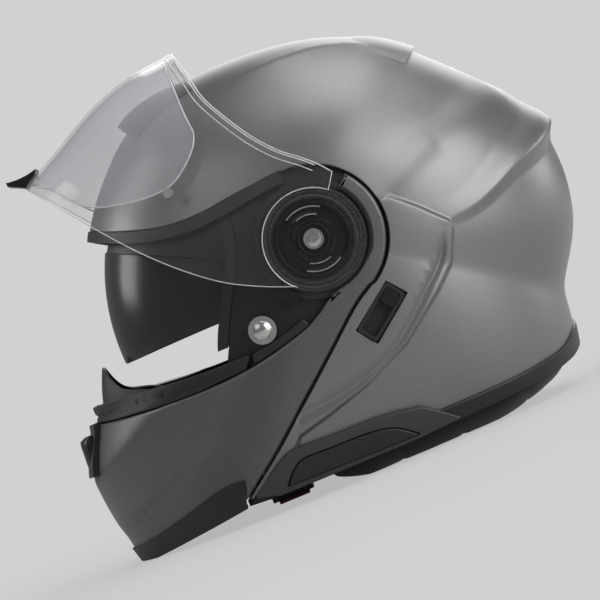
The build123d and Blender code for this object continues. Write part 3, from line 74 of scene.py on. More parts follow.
def add_node(nodes, kind, values=None, **settings):
    """A new node with its own settings and the values of its inputs."""
    node = nodes.new(kind)
    for setting, value in settings.items():
        setattr(node, setting, value)
    set_values(node, values or {})
    return node


def join(links, *steps):
    """Links an output of one node to an input of another, for each step."""
    for source, output, target, entry in steps:
        links.new(source.outputs[output], target.inputs[entry])


camera_data = bpy.data.cameras.new("camera")
camera_data.sensor_width = sensor_width
camera_data.lens = sensor_width * camera_distance / field_width
camera_data.clip_end = far_clip
camera = add_object("camera", camera_data)
turn_matrix = Matrix((view_right, view_up, view_back)).transposed().to_4x4()
camera.matrix_world = Matrix.Translation(view_centre + view_back * camera_distance) @ turn_matrix
scene.camera = camera


def studio_lamp(name, right, up, back, width, height, power):
    """A soft box, placed in the camera's own directions and aimed at the helmet."""
    data = bpy.data.lights.new(name, "AREA")
    data.shape = "RECTANGLE"
    data.size = width
    data.size_y = height
    data.energy = power
    lamp = add_object(name, data)
    place = view_centre + view_right * right + view_up * up + view_back * back
    lamp.location = place
    lamp.rotation_euler = (view_centre - place).to_track_quat("-Z", "Y").to_euler()


studio_lamp("key_lamp", 1.2, 1.1, 1.2, 1.5, 1.5, 22.0)
studio_lamp("top_lamp", 0.1, 1.9, 0.0, 1.8, 1.2, 15.0)
studio_lamp("fill_lamp", -1.3, 0.9, 1.4, 1.2, 1.2, 3.6)
studio_lamp("front_rim_lamp", -1.7, 0.4, -0.4, 0.7, 1.4, 8.0)
studio_lamp("rear_rim_lamp", 1.6, 0.3, -0.6, 0.8, 1.4, 10.0)
studio_lamp("far_side_lamp", 0.2, 0.9, -1.9, 1.4, 1.2, 14.0)

world = bpy.data.worlds.new("studio_world")
scene.world = world
world.use_nodes = True
nodes = world.node_tree.nodes
nodes.clear()
world_output = nodes.new("ShaderNodeOutputWorld")
seen_background = add_node(nodes, "ShaderNodeBackground", {"Color": seen_grey})
room_background = add_node(nodes, "ShaderNodeBackground", {"Color": room_grey, "Strength": room_strength})
world_mix = nodes.new("ShaderNodeMixShader")
world_path = nodes.new("ShaderNodeLightPath")
world_seen = add_node(nodes, "ShaderNodeMath", operation="MAXIMUM")
join(world.node_tree.links, (world_path, "Is Camera Ray", world_seen, 0),
     (world_path, "Is Transmission Ray", world_seen, 1), (world_seen, 0, world_mix, "Fac"),
     (room_background, 0, world_mix, 1), (seen_background, 0, world_mix, 2),
     (world_mix, 0, world_output, "Surface"))


def new_material(name):
    """A material, with its nodes, its links and its shader."""
    material = bpy.data.materials.new(name)
    material.use_nodes = True
    tree = material.node_tree
    return material, tree.nodes, tree.links, tree.nodes["Principled BSDF"]


floor_material, nodes, links, shader = new_material("studio_floor")
set_values(shader, {"Base Color": (0.62, 0.62, 0.62, 1.0), "Roughness": 0.9})
floor_glow = add_node(nodes, "ShaderNodeEmission", {"Color": seen_grey})
floor_path = nodes.new("ShaderNodeLightPath")
floor_place = nodes.new("ShaderNodeTexCoord")
floor_reach = add_node(nodes, "ShaderNodeVectorMath", operation="LENGTH")
floor_fade = add_node(nodes, "ShaderNodeMapRange", {"From Min": 0.2, "From Max": 0.8, "To Min": 0.72,
                                                    "To Max": 1.0})
floor_seen = add_node(nodes, "ShaderNodeMath", operation="MULTIPLY")
floor_through = add_node(nodes, "ShaderNodeMath", operation="MAXIMUM")
floor_mix = nodes.new("ShaderNodeMixShader")
join(links, (floor_place, "Object", floor_reach, 0), (floor_reach, "Value", floor_fade, "Value"),
     (floor_path, "Is Camera Ray", floor_through, 0), (floor_path, "Is Transmission Ray", floor_through, 1),
     (floor_through, 0, floor_seen, 0), (floor_fade, "Result", floor_seen, 1),
     (floor_seen, 0, floor_mix, "Fac"), (shader, 0, floor_mix, 1), (floor_glow, 0, floor_mix, 2),
     (floor_mix, 0, nodes["Material Output"], "Surface"))

floor_half = 6.0
floor_drop = 0.0004
floor_mesh = bpy.data.meshes.new("studio_floor")
floor_mesh.from_pydata([(x * floor_half, y * floor_half, -floor_drop)
                        for x, y in ((-1, -1), (1, -1), (1, 1), (-1, 1))], [], [(0, 1, 2, 3)])
floor_mesh.materials.append(floor_material)
floor = add_object("studio_floor", floor_mesh)

# The outer shell: a moulded shell in matte metallic grey paint, 4 mm thick, with a raised panel on each side,
# a crest along the crown and a ridge across the back. It is moulded in one piece and sprayed.
hinge_offset = 9.6
hinge_height = 144.6
shell_radius = 127.0
shell_half_width = 124.0
shell_wall = 4.0
arm_half_width = 127.5
seam_gap = 1.3
front_axis = (hinge_offset, hinge_height)


def smooth_through(pairs):
    """A smooth function of an angle that passes through pairs of angle and value."""
    angles = np.array([pair[0] for pair in pairs], float)
    values = np.array([pair[1] for pair in pairs], float)
    slopes = np.empty_like(values)
    slopes[1:-1] = (values[2:] - values[:-2]) / (angles[2:] - angles[:-2])
    slopes[0] = (values[1] - values[0]) / (angles[1] - angles[0])
    slopes[-1] = (values[-1] - values[-2]) / (angles[-1] - angles[-2])

    def value_at(angle):
        angle = np.clip(np.asarray(angle, float), angles[0], angles[-1])
        index = np.clip(np.searchsorted(angles, angle, side="right") - 1, 0, len(angles) - 2)
        span = angles[index + 1] - angles[index]
        t = (angle - angles[index]) / span
        start = values[index] * (1 + 2 * t) * (1 - t) ** 2
        end = values[index + 1] * t * t * (3 - 2 * t)
        start_slope = slopes[index] * span * t * (1 - t) ** 2
        end_slope = slopes[index + 1] * span * t * t * (t - 1)
        return start + end + start_slope + end_slope

    return value_at


shell_shares = smooth_through([(-202, 1.115), (-190, 1.2), (-180, 1.28), (-165, 1.42), (-155, 1.58),
                               (-146, 1.7), (-140, 1.8), (-133, 1.95), (-128, 2.08), (-122, 2.15),
                               (-110, 2.04), (-90, 1.88), (-70, 1.72), (-60, 1.63), (-50, 1.5), (-43, 1.4),
                               (-38, 1.33), (-33, 1.272), (-28, 1.27), (-23, 1.285), (-17, 1.3), (-8, 1.298),
                               (0, 1.284), (5, 1.272), (14, 1.221), (25, 1.115), (38, 1.056), (53, 1.037),
                               (71, 1.0), (86, 0.986), (101, 1.005), (126, 1.066), (141, 1.082),
                               (158, 1.115)])
cross_powers = smooth_through([(-202, 2.3), (-185, 2.1), (-165, 2.0), (-140, 2.0), (-125, 2.25), (-110, 2.3),
                               (158, 2.3)])


def even_powers(angle):
    """The same cross section at every angle."""
    return np.full(np.shape(angle), 2.3)


class Form:
    """A rounded surface about an axis across the helmet, as a function of angle and turn in degrees."""

    def __init__(self, shares, powers, half_width, inset=0.0, axis=front_axis, lowest=-202.0, raise_by=None):
        self.shares = shares
        self.powers = powers
        self.half_width = half_width - inset
        self.inset = inset
        self.axis = axis
        self.lowest = lowest
        self.raise_by = raise_by

    def radius(self, angle):
        """The reach of the middle section at an angle."""
        return shell_radius * self.shares(angle) - self.inset

    def bare(self, angle, turn):
        """Points of the smooth form, without its relief."""
        power = self.powers(angle)
        bend = np.radians(turn)
        reach = self.radius(angle) * np.abs(np.cos(bend)) ** (2 / power)
        side = self.half_width * np.abs(np.sin(bend)) ** (2 / power) * np.sign(turn)
        heading = np.radians(angle)
        return np.stack([self.axis[0] + reach * np.cos(heading), side,
                         self.axis[1] + reach * np.sin(heading)], axis=-1)

    def normal_of(self, function, angle, turn):
        """Normals of a surface that a function of angle and turn gives."""
        small = 0.12
        along = function(angle + small, turn) - function(angle - small, turn)
        right, left = np.minimum(turn + small, 89.9), np.maximum(turn - small, -89.9)
        across = function(angle, right) - function(angle, left)
        normal = np.cross(along, across)
        return normal / np.maximum(np.linalg.norm(normal, axis=-1, keepdims=True), 1e-9)

    def place(self, angle, turn):
        """Points of the form with its relief."""
        points = self.bare(angle, turn)
        if self.raise_by is None:
            return points
        normals = -self.normal_of(self.bare, angle, turn)
        middle = np.array([self.axis[0], 0.0, self.axis[1]])
        outward = np.sign(np.sum(normals * (points - middle), axis=-1, keepdims=True))
        return points + normals * outward * self.raise_by(points, angle, turn)[..., None]

    def normals(self, angle, turn):
        """Outward normals of the form with its relief."""
        points = self.place(angle, turn)
        normals = self.normal_of(self.place, angle, turn)
        middle = np.array([self.axis[0], 0.0, self.axis[1]])
        return normals * np.sign(np.sum(normals * (points - middle), axis=-1, keepdims=True))

    def from_side(self, places, side=-1):
        """Angles and turns of places in the side view, those beyond the outline in the middle plane."""
        places = np.asarray(places, float)
        across = places[:, 0] - self.axis[0]
        up = places[:, 1] - self.axis[1]
        angle = np.degrees(np.arctan2(up, across))
        angle = np.where(angle < self.lowest, angle + 360.0, angle)
        angle = np.where(angle > self.lowest + 360.0, angle - 360.0, angle)
        ratio = np.minimum(1.0, np.hypot(across, up) / self.radius(angle))
        turn = np.degrees(np.arccos(ratio ** (self.powers(angle) / 2)))
        return np.stack([angle, side * turn], axis=-1)

    def to_middle(self, start, beyond, side=-1, count=60):
        """From a place on the side along a straight line in the side view until it meets the middle plane."""
        shares = np.linspace(0.0, 1.0, count)[:, None]
        run = self.from_side(np.array(start) + (np.array(beyond) - np.array(start)) * shares, side)
        last = int(np.argmax(np.abs(run[:, 1]) < 1e-6))
        return run[:last + 1]

    def level_run(self, start, height, count=24):
        """From a place on the side to the middle plane, at one height."""
        turns = np.linspace(start[1], 0.0, count)
        low = np.full(count, start[0] - 30.0)
        high = np.full(count, start[0] + 30.0)
        low_side = self.bare(low, turns)[:, 2] > height
        for _ in range(40):
            middle = (low + high) / 2
            same = (self.bare(middle, turns)[:, 2] > height) == low_side
            low = np.where(same, middle, low)
            high = np.where(same, high, middle)
        return np.stack([(low + high) / 2, turns], axis=-1)


def side_place(share_x, share_z):
    """A place in the side view, from its shares of the shell's radius from the hinge."""
    return (hinge_offset + shell_radius * share_x, hinge_height + shell_radius * share_z)


def side_places(shares):
    return [side_place(x, z) for x, z in shares]


def ring_places(radius, start, end, count=24):
    """Places on a ring round the hinge between two angles."""
    turns = np.radians(np.linspace(start, end, count))
    return [(hinge_offset + radius * math.cos(turn), hinge_height + radius * math.sin(turn))
            for turn in turns]


def smooth_path(points, spacing=2.0):
    """A smooth run through places, at an even spacing."""
    points = np.asarray(points, float)
    ends = np.vstack([2 * points[0] - points[1], points, 2 * points[-1] - points[-2]])
    result = []
    for index in range(1, len(ends) - 2):
        before, start, end, after = ends[index - 1:index + 3]
        count = max(2, int(math.ceil(np.linalg.norm(end - start) / spacing)))
        for step in range(count):
            t = step / count
            square = (2 * before - 5 * start + 4 * end - after) * t * t
            cube = (3 * start - before - 3 * end + after) * t ** 3
            result.append(0.5 * (2 * start + (end - before) * t + square + cube))
    result.append(points[-1])
    return np.array(result)


def straight_path(points, spacing=2.0):
    """A run straight from place to place, at an even spacing."""
    points = np.asarray(points, float)
    result = []
    for start, end in zip(points[:-1], points[1:]):
        count = max(1, int(math.ceil(np.linalg.norm(end - start) / spacing)))
        result.extend(start + (end - start) * step / count for step in range(count))
    result.append(points[-1])
    return np.array(result)


def shifted(places, distance):
    """An open run of places moved sideways; a positive distance moves it to the right of its direction."""
    places = np.asarray(places, float)
    ahead = np.vstack([places[1:], places[-1]])
    behind = np.vstack([places[0], places[:-1]])
    direction = ahead - behind
    direction = direction / np.linalg.norm(direction, axis=1, keepdims=True)
    return places + distance * np.stack([direction[:, 1], -direction[:, 0]], axis=1)


def mirrored_loop(left):
    """A closed loop from its left half, which starts and ends in the middle plane."""
    right = left[::-1].copy()
    right[:, 1] = -right[:, 1]
    return np.vstack([left, right[1:-1]])


def inside(points, loop):
    """Which points lie inside a closed loop."""
    result = np.zeros(len(points), bool)
    x, y = points[:, 0], points[:, 1]
    following = np.roll(loop, -1, axis=0)
    for (x0, y0), (x1, y1) in zip(loop, following):
        crosses = (y0 > y) != (y1 > y)
        with np.errstate(divide="ignore", invalid="ignore"):
            result ^= crosses & (x < (x1 - x0) * (y - y0) / (y1 - y0) + x0)
    return result


def distance_to(points, run):
    """The distance of each point to a run, with the share of the run's length where it is nearest."""
    best = np.full(len(points), 1e9)
    share = np.zeros(len(points))
    lengths = np.linalg.norm(run[1:] - run[:-1], axis=1)
    total = max(lengths.sum(), 1e-9)
    gone = 0.0
    for start, end, length in zip(run[:-1], run[1:], lengths):
        along = end - start
        t = np.clip(((points - start) @ along) / max(length * length, 1e-12), 0.0, 1.0)
        distance = np.linalg.norm(points - start - t[:, None] * along, axis=1)
        nearer = distance < best
        best = np.where(nearer, distance, best)
        share = np.where(nearer, (gone + t * length) / total, share)
        gone += length
    return best, share


def mesh_object(name, points, faces, normals, material):
    """A piece from its points, faces and the normals at its points."""
    mesh = bpy.data.meshes.new(name)
    mesh.from_pydata([tuple(point) for point in np.asarray(points) * millimetre], [], faces)
    mesh.materials.append(material)
    mesh.polygons.foreach_set("use_smooth", [True] * len(mesh.polygons))
    mesh.update()
    mesh.normals_split_custom_set_from_vertices([tuple(normal) for normal in normals])
    return add_object(name, mesh)


def within(places, loops):
    """Which places lie inside the first loop and outside the others."""
    keep = inside(places, loops[0])
    for hole in loops[1:]:
        keep &= ~inside(places, hole)
    return keep


def filled_outline(loops, creases, spacing):
    """Triangles that fill the first loop apart from the others, with edges along the creases."""
    points = []
    edges = []
    for run, closed in [(one, True) for one in loops] + [(np.asarray(one, float), False) for one in creases]:
        start = len(points)
        points.extend(run.tolist())
        edges.extend((start + k, start + k + 1) for k in range(len(run) - 1))
        if closed:
            edges.append((start + len(run) - 1, start))
    low = loops[0].min(axis=0)
    high = loops[0].max(axis=0)
    columns = np.arange(low[0], high[0], spacing)
    rows = np.arange(-math.ceil(abs(low[1]) / spacing) * spacing, high[1] + spacing, spacing)
    grid = np.array([(x + (0.5 * spacing if k % 2 else 0.0), y) for k, y in enumerate(rows) for x in columns])
    grid = grid[within(grid, loops)]
    nearest = np.full(len(grid), 1e9)
    for x, y in points:
        nearest = np.minimum(nearest, np.hypot(grid[:, 0] - x, grid[:, 1] - y))
    grid = grid[nearest > 0.55 * spacing]
    domain = [Vector(point) for point in points] + [Vector(point) for point in grid.tolist()]
    solved = geometry.delaunay_2d_cdt(domain, edges, [], 0, 1e-5)
    flat = np.array([tuple(point) for point in solved[0]])
    triangles = np.array([tuple(face) for face in solved[2]])
    triangles = triangles[within(flat[triangles].mean(axis=1), loops)]
    used, triangles = np.unique(triangles, return_inverse=True)
    return flat[used], triangles.reshape(-1, 3)


def rim_steps(triangles):
    """The following point of the rim, for each point on the rim of a sheet of triangles."""
    steps = [(face[k], face[(k + 1) % 3]) for face in triangles.tolist() for k in range(3)]
    count = Counter(tuple(sorted(step)) for step in steps)
    return {start: end for start, end in steps if count[tuple(sorted((start, end)))] == 1}


def unit(vectors):
    """The same directions, each one long."""
    return vectors / np.maximum(np.linalg.norm(vectors, axis=1, keepdims=True), 1e-9)


def skin_mesh(form, loop, wall, edge, holes=(), creases=(), spacing=2.0, rounding=4):
    """Points, faces and normals of a closed sheet over a form, with rounded edges along its loops."""
    flat, triangles = filled_outline([np.asarray(one, float) for one in (loop, *holes)], creases, spacing)
    outer = form.place(flat[:, 0], flat[:, 1])
    outer_normals = form.normals(flat[:, 0], flat[:, 1])
    a, b, c = (outer[triangles[:, k]] for k in range(3))
    facing = np.sum(np.cross(b - a, c - a) * outer_normals[triangles[:, 0]], axis=1)
    triangles = np.where((facing < 0)[:, None], triangles[:, ::-1], triangles)
    base_form = Form(form.shares, form.powers, form.half_width + form.inset, form.inset, form.axis,
                     form.lowest)
    base_normals = base_form.normals(flat[:, 0], flat[:, 1])
    inner = form.bare(flat[:, 0], flat[:, 1]) - base_normals * wall
    following = rim_steps(triangles)
    before = {end: start for start, end in following.items()}
    rim = list(following)
    rim_index = {vertex: k for k, vertex in enumerate(rim)}
    normal = outer_normals[rim]
    tangent = unit(outer[[following[vertex] for vertex in rim]] - outer[[before[vertex] for vertex in rim]])
    out = unit(np.cross(tangent, normal))
    inner_edge = min(edge, wall - edge)
    outer[rim] -= out * edge
    inner[rim] -= out * inner_edge
    bends = [math.pi / 2 * step / rounding for step in range(1, rounding + 1)]
    sections = [(outer[rim], normal, edge, bend) for bend in bends]
    sections += [(inner[rim], -normal, inner_edge, bend) for bend in reversed(bends)]
    all_points = [outer, inner]
    all_normals = [outer_normals, -base_normals]
    rings = [np.array(rim)]
    for start, away, size, bend in sections:
        rings.append(np.arange(len(rim)) + sum(len(points) for points in all_points))
        all_points.append(start + out * size * math.sin(bend) - away * size * (1 - math.cos(bend)))
        all_normals.append(away * math.cos(bend) + out * math.sin(bend))
    total = len(outer)
    rings.append(np.array(rim) + total)
    faces = [tuple(face) for face in triangles.tolist()]
    faces += [tuple(v + total for v in reversed(face)) for face in triangles.tolist()]
    for upper, lower in zip(rings[:-1], rings[1:]):
        for k, vertex in enumerate(rim):
            n = rim_index[following[vertex]]
            faces.append((int(upper[k]), int(lower[k]), int(lower[n]), int(upper[n])))
    return np.vstack(all_points), faces, np.vstack(all_normals)


def skin(name, form, loop, wall, edge, material, **more):
    """A closed sheet over a form, as a piece."""
    points, faces, normals = skin_mesh(form, loop, wall, edge, **more)
    return mesh_object(name, points, faces, normals, material)


other_side = np.array([1.0, -1.0, 1.0])


def with_other_side(parts):
    """The same points, faces and normals with their mirror images across the middle plane."""
    points, faces, normals = parts
    total = len(points)
    mirrored_faces = [tuple(v + total for v in reversed(face)) for face in faces]
    return (np.vstack([points, points * other_side]), faces + mirrored_faces,
            np.vstack([normals, normals * other_side]))


def both_ways(run):
    """A run of angles and turns on the left side, and the same run on the right."""
    return [run, run * np.array([1.0, -1.0])]


def noise_into(nodes, links, scale, detail=2.0):
    """Noise in the piece's own coordinates."""
    place = nodes.new("ShaderNodeTexCoord")
    noise = add_node(nodes, "ShaderNodeTexNoise", {"Scale": scale, "Detail": detail})
    links.new(place.outputs["Object"], noise.inputs["Vector"])
    return noise.outputs["Fac"]


def ramp_from(nodes, links, source, low, high, low_at=0.3, high_at=0.7):
    """A colour that goes from one to another with a value."""
    ramp = nodes.new("ShaderNodeValToRGB")
    for element, place, colour in zip(ramp.color_ramp.elements, (low_at, high_at), (low, high)):
        element.position = place
        element.color = colour + (1.0,)
    links.new(source, ramp.inputs["Fac"])
    return ramp.outputs["Color"]


def spread_into(nodes, links, source, low, high, target):
    """Spreads a value between two limits into an input."""
    spread = add_node(nodes, "ShaderNodeMapRange", {"To Min": low, "To Max": high})
    links.new(source, spread.inputs["Value"])
    links.new(spread.outputs["Result"], target)


def bump_from(nodes, links, source, shader, strength, distance):
    """Small relief in the surface's light."""
    bump = add_node(nodes, "ShaderNodeBump", {"Strength": strength, "Distance": distance})
    links.new(source, bump.inputs["Height"])
    links.new(bump.outputs["Normal"], shader.inputs["Normal"])


def moulded_finish(name, low, high, gloss, grain_scale, grain_strength, metallic=0.0):
    """A solid moulded or sprayed finish: fine grain, slow colour change and uneven gloss."""
    material, nodes, links, shader = new_material(name)
    grain = noise_into(nodes, links, grain_scale, 3.0)
    links.new(ramp_from(nodes, links, grain, low, high), shader.inputs["Base Color"])
    spread_into(nodes, links, noise_into(nodes, links, 14.0), *gloss, shader.inputs["Roughness"])
    set_values(shader, {"Metallic": metallic})
    bump_from(nodes, links, grain, shader, grain_strength, 0.0002)
    return material


grey_paint = moulded_finish("grey_paint", (0.205, 0.206, 0.21), (0.285, 0.286, 0.292), (0.36, 0.44), 2600.0,
                            0.06, metallic=0.78)

brow_shares = [(-1.036, 0.491), (-0.906, 0.42), (-0.677, 0.338), (-0.472, 0.318), (-0.26, 0.338),
               (-0.031, 0.36)]
seam_shares = [(0.178, -0.294), (0.057, -0.369), (-0.142, -0.535), (-0.35, -0.706), (-0.539, -0.861),
               (-0.76, -1.023)]
shell_bottom_shares = [(-0.63, -1.04), (0.248, -1.04), (0.556, -1.032), (0.769, -1.017), (0.945, -0.981),
                       (1.079, -0.91), (1.181, -0.855)]
plateau_shares = [(0.389, 0.065), (0.513, -0.047), (0.622, -0.16), (0.628, -0.2), (0.557, -0.352),
                  (0.444, -0.454), (0.22, -0.619), (-0.028, -0.731), (-0.247, -0.795), (-0.5, -0.856)]
arm_tip_radius = 43.9
arm_rim_radius = 33.5
shell_rim_radius = arm_tip_radius + seam_gap
plateau_height = 2.8
plateau_bevel = 4.0
groove_shares = [(0.586, -0.193), (0.569, -0.207), (0.528, -0.293), (0.474, -0.357), (0.407, -0.415),
                 (0.184, -0.603), (-0.06, -0.71), (-0.38, -0.753)]
crest_shares = [(-0.176, 0.835), (0.013, 0.86), (0.287, 0.859), (0.435, 0.836), (0.567, 0.791), (0.773, 0.69),
                (0.94, 0.54), (1.1, 0.333), (1.2, 0.2)]
fold_shares = [(0.75, 0.19), (0.6, 0.13), (0.46, 0.07)]
spoiler_height = 7.0
spoiler_line = smooth_through([(0.5, -14), (0.59, -11), (0.77, -3), (0.92, 1.2), (1.0, 4.4)])
spoiler_rise = smooth_through([(0.45, 0.0), (0.6, 0.25), (0.8, 0.75), (0.92, 1.0), (1.0, 1.0)])
spoiler_slope_angle = 9.0
spoiler_drop_angle = 4.0
groove_depth = 1.5
groove_width = 1.5
groove_widening = 1.6
crest_height = 2.0
crest_fade = 6.5
fold_depth = 1.5
fold_reach = 18.0
fold_turn = 16.0
shell_edge = 0.7
intake_hole = (112.0, 124.0, 44.0)
outlet_hole = (44.0, 52.0, 50.0)
slider_slot_growth = 1.012
side_relief_limit = 0.92

plateau_step = straight_path(side_places(plateau_shares), 1.5)
plateau_loop = np.vstack([side_places(plateau_shares), side_places([(-0.75, -0.8), (0.0, 0.0)])])
groove_run = smooth_path(side_places(groove_shares))
crest_run = smooth_path(side_places(crest_shares))
fold_run = smooth_path(side_places(fold_shares))


def soft_step(value):
    """A smooth step from 0 to 1."""
    value = np.clip(value, 0.0, 1.0)
    return value * value * (3 - 2 * value)


def side_view(points):
    """The places of points in the side view."""
    return np.stack([points[..., 0], points[..., 2]], axis=-1).reshape(-1, 2)


def beside_run(flat, run):
    """How far places lie to one side of the line from a run's start to its end."""
    along = (run[-1] - run[0]) / np.linalg.norm(run[-1] - run[0])
    return (flat - run[0]) @ np.array([along[1], -along[0]])


def shell_relief(points, angle, turn):
    """How far the shell's panels, crest and rear ridge stand off its smooth form."""
    angle, turn = np.broadcast_arrays(angle, turn)
    flat = side_view(points)
    reach_share = (np.abs(np.cos(np.radians(turn))) ** (2 / cross_powers(angle))).reshape(-1)
    distance, share = distance_to(flat, plateau_step)
    signed = np.where(inside(flat, plateau_loop), distance, -distance)
    on_side = reach_share < side_relief_limit
    height = plateau_height * soft_step((signed + plateau_bevel / 2) / plateau_bevel) * on_side
    distance, share = distance_to(flat, groove_run)
    groove = np.exp(-(distance / (groove_width + groove_widening * share)) ** 2)
    height -= groove_depth * groove * soft_step(share * 12) * on_side
    distance, share = distance_to(flat, crest_run)
    crest = np.exp(-distance / crest_fade) * soft_step(share * 5) * soft_step((1 - share) * 6)
    height += crest_height * crest
    distance, share = distance_to(flat, fold_run)
    fold = soft_step(0.5 + beside_run(flat, fold_run) / fold_turn) * np.exp(-(distance / fold_reach) ** 2)
    height -= fold_depth * fold * soft_step(share * 4 + 0.2)
    away = np.asarray(angle).reshape(-1) - spoiler_line(reach_share)
    fall = np.maximum(0.0, 1.0 - np.abs(away) / np.where(away > 0, spoiler_slope_angle, spoiler_drop_angle))
    lip = np.where(away > 0, fall * fall * (3 - 2 * fall), fall ** 1.5)
    height += spoiler_height * spoiler_rise(reach_share) * lip
    return height.reshape(np.shape(points)[:-1])


shell_form = Form(shell_shares, cross_powers, shell_half_width, raise_by=shell_relief)
seam_run = smooth_path(side_places(seam_shares))
seam_of_shell = shifted(seam_run, -seam_gap / 2)
bottom_run = smooth_path(side_places(shell_bottom_shares))
brow_run = smooth_path(side_places(brow_shares))
brow_domain = shell_form.from_side(brow_run)
bottom_domain = shell_form.from_side(bottom_run)
shell_left = np.vstack([shell_form.level_run(brow_domain[0], brow_run[0][1])[::-1][:-1], brow_domain,
                        shell_form.from_side(ring_places(shell_rim_radius, 92, -57, 64)),
                        shell_form.from_side(seam_of_shell[1:]),
                        bottom_domain, shell_form.level_run(bottom_domain[-1], bottom_run[-1][1])[1:]])
slot_left_shares = [(0.236, -0.315), (0.306, -0.402), (0.091, -0.567), (0.021, -0.474)]
slot_corners = side_places(slot_left_shares)
slot_middle = np.mean(slot_corners, axis=0)
slot_grown = [tuple(slot_middle + (np.array(corner) - slot_middle) * slider_slot_growth)
              for corner in slot_corners]
slot_hole = shell_form.from_side(straight_path(slot_grown + slot_grown[:1], 2.0)[:-1])


def vent_hole(low_angle, high_angle, width):
    """The loop of a slot across the crown between two angles."""
    half = []
    for angle in (low_angle, high_angle):
        turns = np.linspace(0, 60, 400)
        sides = shell_form.bare(np.full(400, angle), turns)[:, 1]
        half.append(float(np.interp(width / 2, sides, turns)))
    corners = [(low_angle, -half[0]), (low_angle, half[0]), (high_angle, half[1]), (high_angle, -half[1]),
               (low_angle, -half[0])]
    return straight_path(corners, 1.0)[:-1]


turns = np.linspace(-62, 62, 120)
lip_shares = np.abs(np.cos(np.radians(turns))) ** (2 / 2.3)
creases = [np.stack([spoiler_line(lip_shares) + offset, turns], axis=-1)
           for offset in (-5.0, -4.0, -3.0, -2.0, -1.0, 0.0, 1.0, 2.2, 3.6, 5.2, 7.0, 9.0)]
crest_domain = shell_form.from_side(crest_run)
for offset in (-0.62 * plateau_bevel, -plateau_bevel / 2, -plateau_bevel / 6, plateau_bevel / 6,
               plateau_bevel / 2):
    creases += both_ways(shell_form.from_side(shifted(plateau_step, offset)[2:-8]))
creases += both_ways(crest_domain)
for offset in (-2.0, -0.8, 0.8, 2.0):
    creases += both_ways(shell_form.from_side(shifted(groove_run, offset)[1:]))
outer_shell = skin("painted_shell", shell_form, mirrored_loop(shell_left), shell_wall, shell_edge, grey_paint,
                   holes=[slot_hole, vent_hole(*intake_hole), vent_hole(*outlet_hole)],
                   creases=creases, spacing=1.8)
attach(outer_shell, "shell")
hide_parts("outer_shell")


# The chin bar: the same painted moulding as the shell, with an arm on each side that wraps round the hinge
# and ends in a cup. A hard thin wall with a well rounded upper edge.
chin_wall = 3.2
chin_shares = smooth_through([(-170, 1.38), (-162.5, 1.412), (-155, 1.606), (-153, 1.633), (-146.5, 1.714),
                              (-142, 1.77), (-139, 1.81), (-133, 1.93), (-128, 2.08), (-122, 2.2),
                              (-110, 2.06), (-90, 1.88), (-60, 1.63), (-30, 1.27), (0, 1.284), (30, 1.09),
                              (60, 1.04)])
chin_top_shares = [(-1.347, -0.424), (-1.149, -0.444), (-0.848, -0.465), (-0.533, -0.452), (-0.227, -0.387),
                   (-0.118, -0.339), (-0.047, -0.292)]
chin_fold_shares = [(-1.35, -0.93), (-1.1, -0.86), (-0.9, -0.77), (-0.72, -0.66)]
chin_vent_low_share = -0.63
chin_vent_high_share = -0.47
chin_vent_width = 44.0
tip_start_angle = 42.0
tip_end_angle = -59.0
chin_rim_drop_share = -1.107
arm_floor_low = 119.9
arm_floor_wall = 2.4
arm_cup_wall = 2.6
hinge_shaft_radius = 4.0
seat_gap = 0.3
chin_edge = 2.3
chin_fold_depth = 1.3
chin_fold_reach = 16.0
chin_fold_turn = 7.0
tip_step_radii = (36.0, 41.5)
arm_rim_start = -95
arm_rim_end = 42
shaft_clearance = 0.1

chin_fold_run = smooth_path(side_places(chin_fold_shares))


def chin_relief(points, angle, turn):
    """The soft fold that runs back along the chin bar's lower side."""
    flat = side_view(points)
    distance, share = distance_to(flat, chin_fold_run)
    below = beside_run(flat, chin_fold_run)
    fold = soft_step(0.5 + below / chin_fold_turn) * np.exp(-(distance / chin_fold_reach) ** 2)
    return (-chin_fold_depth * fold * soft_step((1 - share) * 3)).reshape(np.shape(points)[:-1])


def disc_rows(profile, start=0.0, end=360.0, count=64, axis=front_axis):
    """A piece on the left turned about an axis: a closed profile of radius and distance from the middle."""
    whole = abs(end - start - 360.0) < 1e-6
    turns = np.radians(np.linspace(start, end, count + 1))
    if whole:
        turns = turns[:-1]
    points = [(axis[0] + radius * math.cos(turn), -out, axis[1] + radius * math.sin(turn))
              for turn in turns for radius, out in profile]
    size = len(profile)
    faces = []
    for k in range(len(turns) if whole else len(turns) - 1):
        n = (k + 1) % len(turns)
        for j in range(size):
            m = (j + 1) % size
            faces.append((k * size + j, k * size + m, n * size + m, n * size + j))
    if not whole:
        faces.append(tuple(range(size - 1, -1, -1)))
        faces.append(tuple(len(points) - size + k for k in range(size)))
    return np.array(points), faces


def cleaned(mesh, sharp_angle, merge_distance=0.0):
    """Turns a mesh's faces outward and shades it smooth apart from its sharp edges."""
    shape = bmesh.new()
    shape.from_mesh(mesh)
    if merge_distance:
        bmesh.ops.remove_doubles(shape, verts=shape.verts, dist=merge_distance)
    bmesh.ops.recalc_face_normals(shape, faces=shape.faces)
    shape.to_mesh(mesh)
    shape.free()
    mesh.polygons.foreach_set("use_smooth", [True] * len(mesh.polygons))
    mesh.set_sharp_from_angle(angle=math.radians(sharp_angle))


def solid_object(name, points, faces, material, sharp_angle, merge_distance):
    """A closed piece from its points and faces."""
    mesh = bpy.data.meshes.new(name)
    mesh.from_pydata([tuple(point) for point in np.asarray(points) * millimetre], [], faces)
    mesh.materials.append(material)
    cleaned(mesh, sharp_angle, merge_distance)
    return add_object(name, mesh)


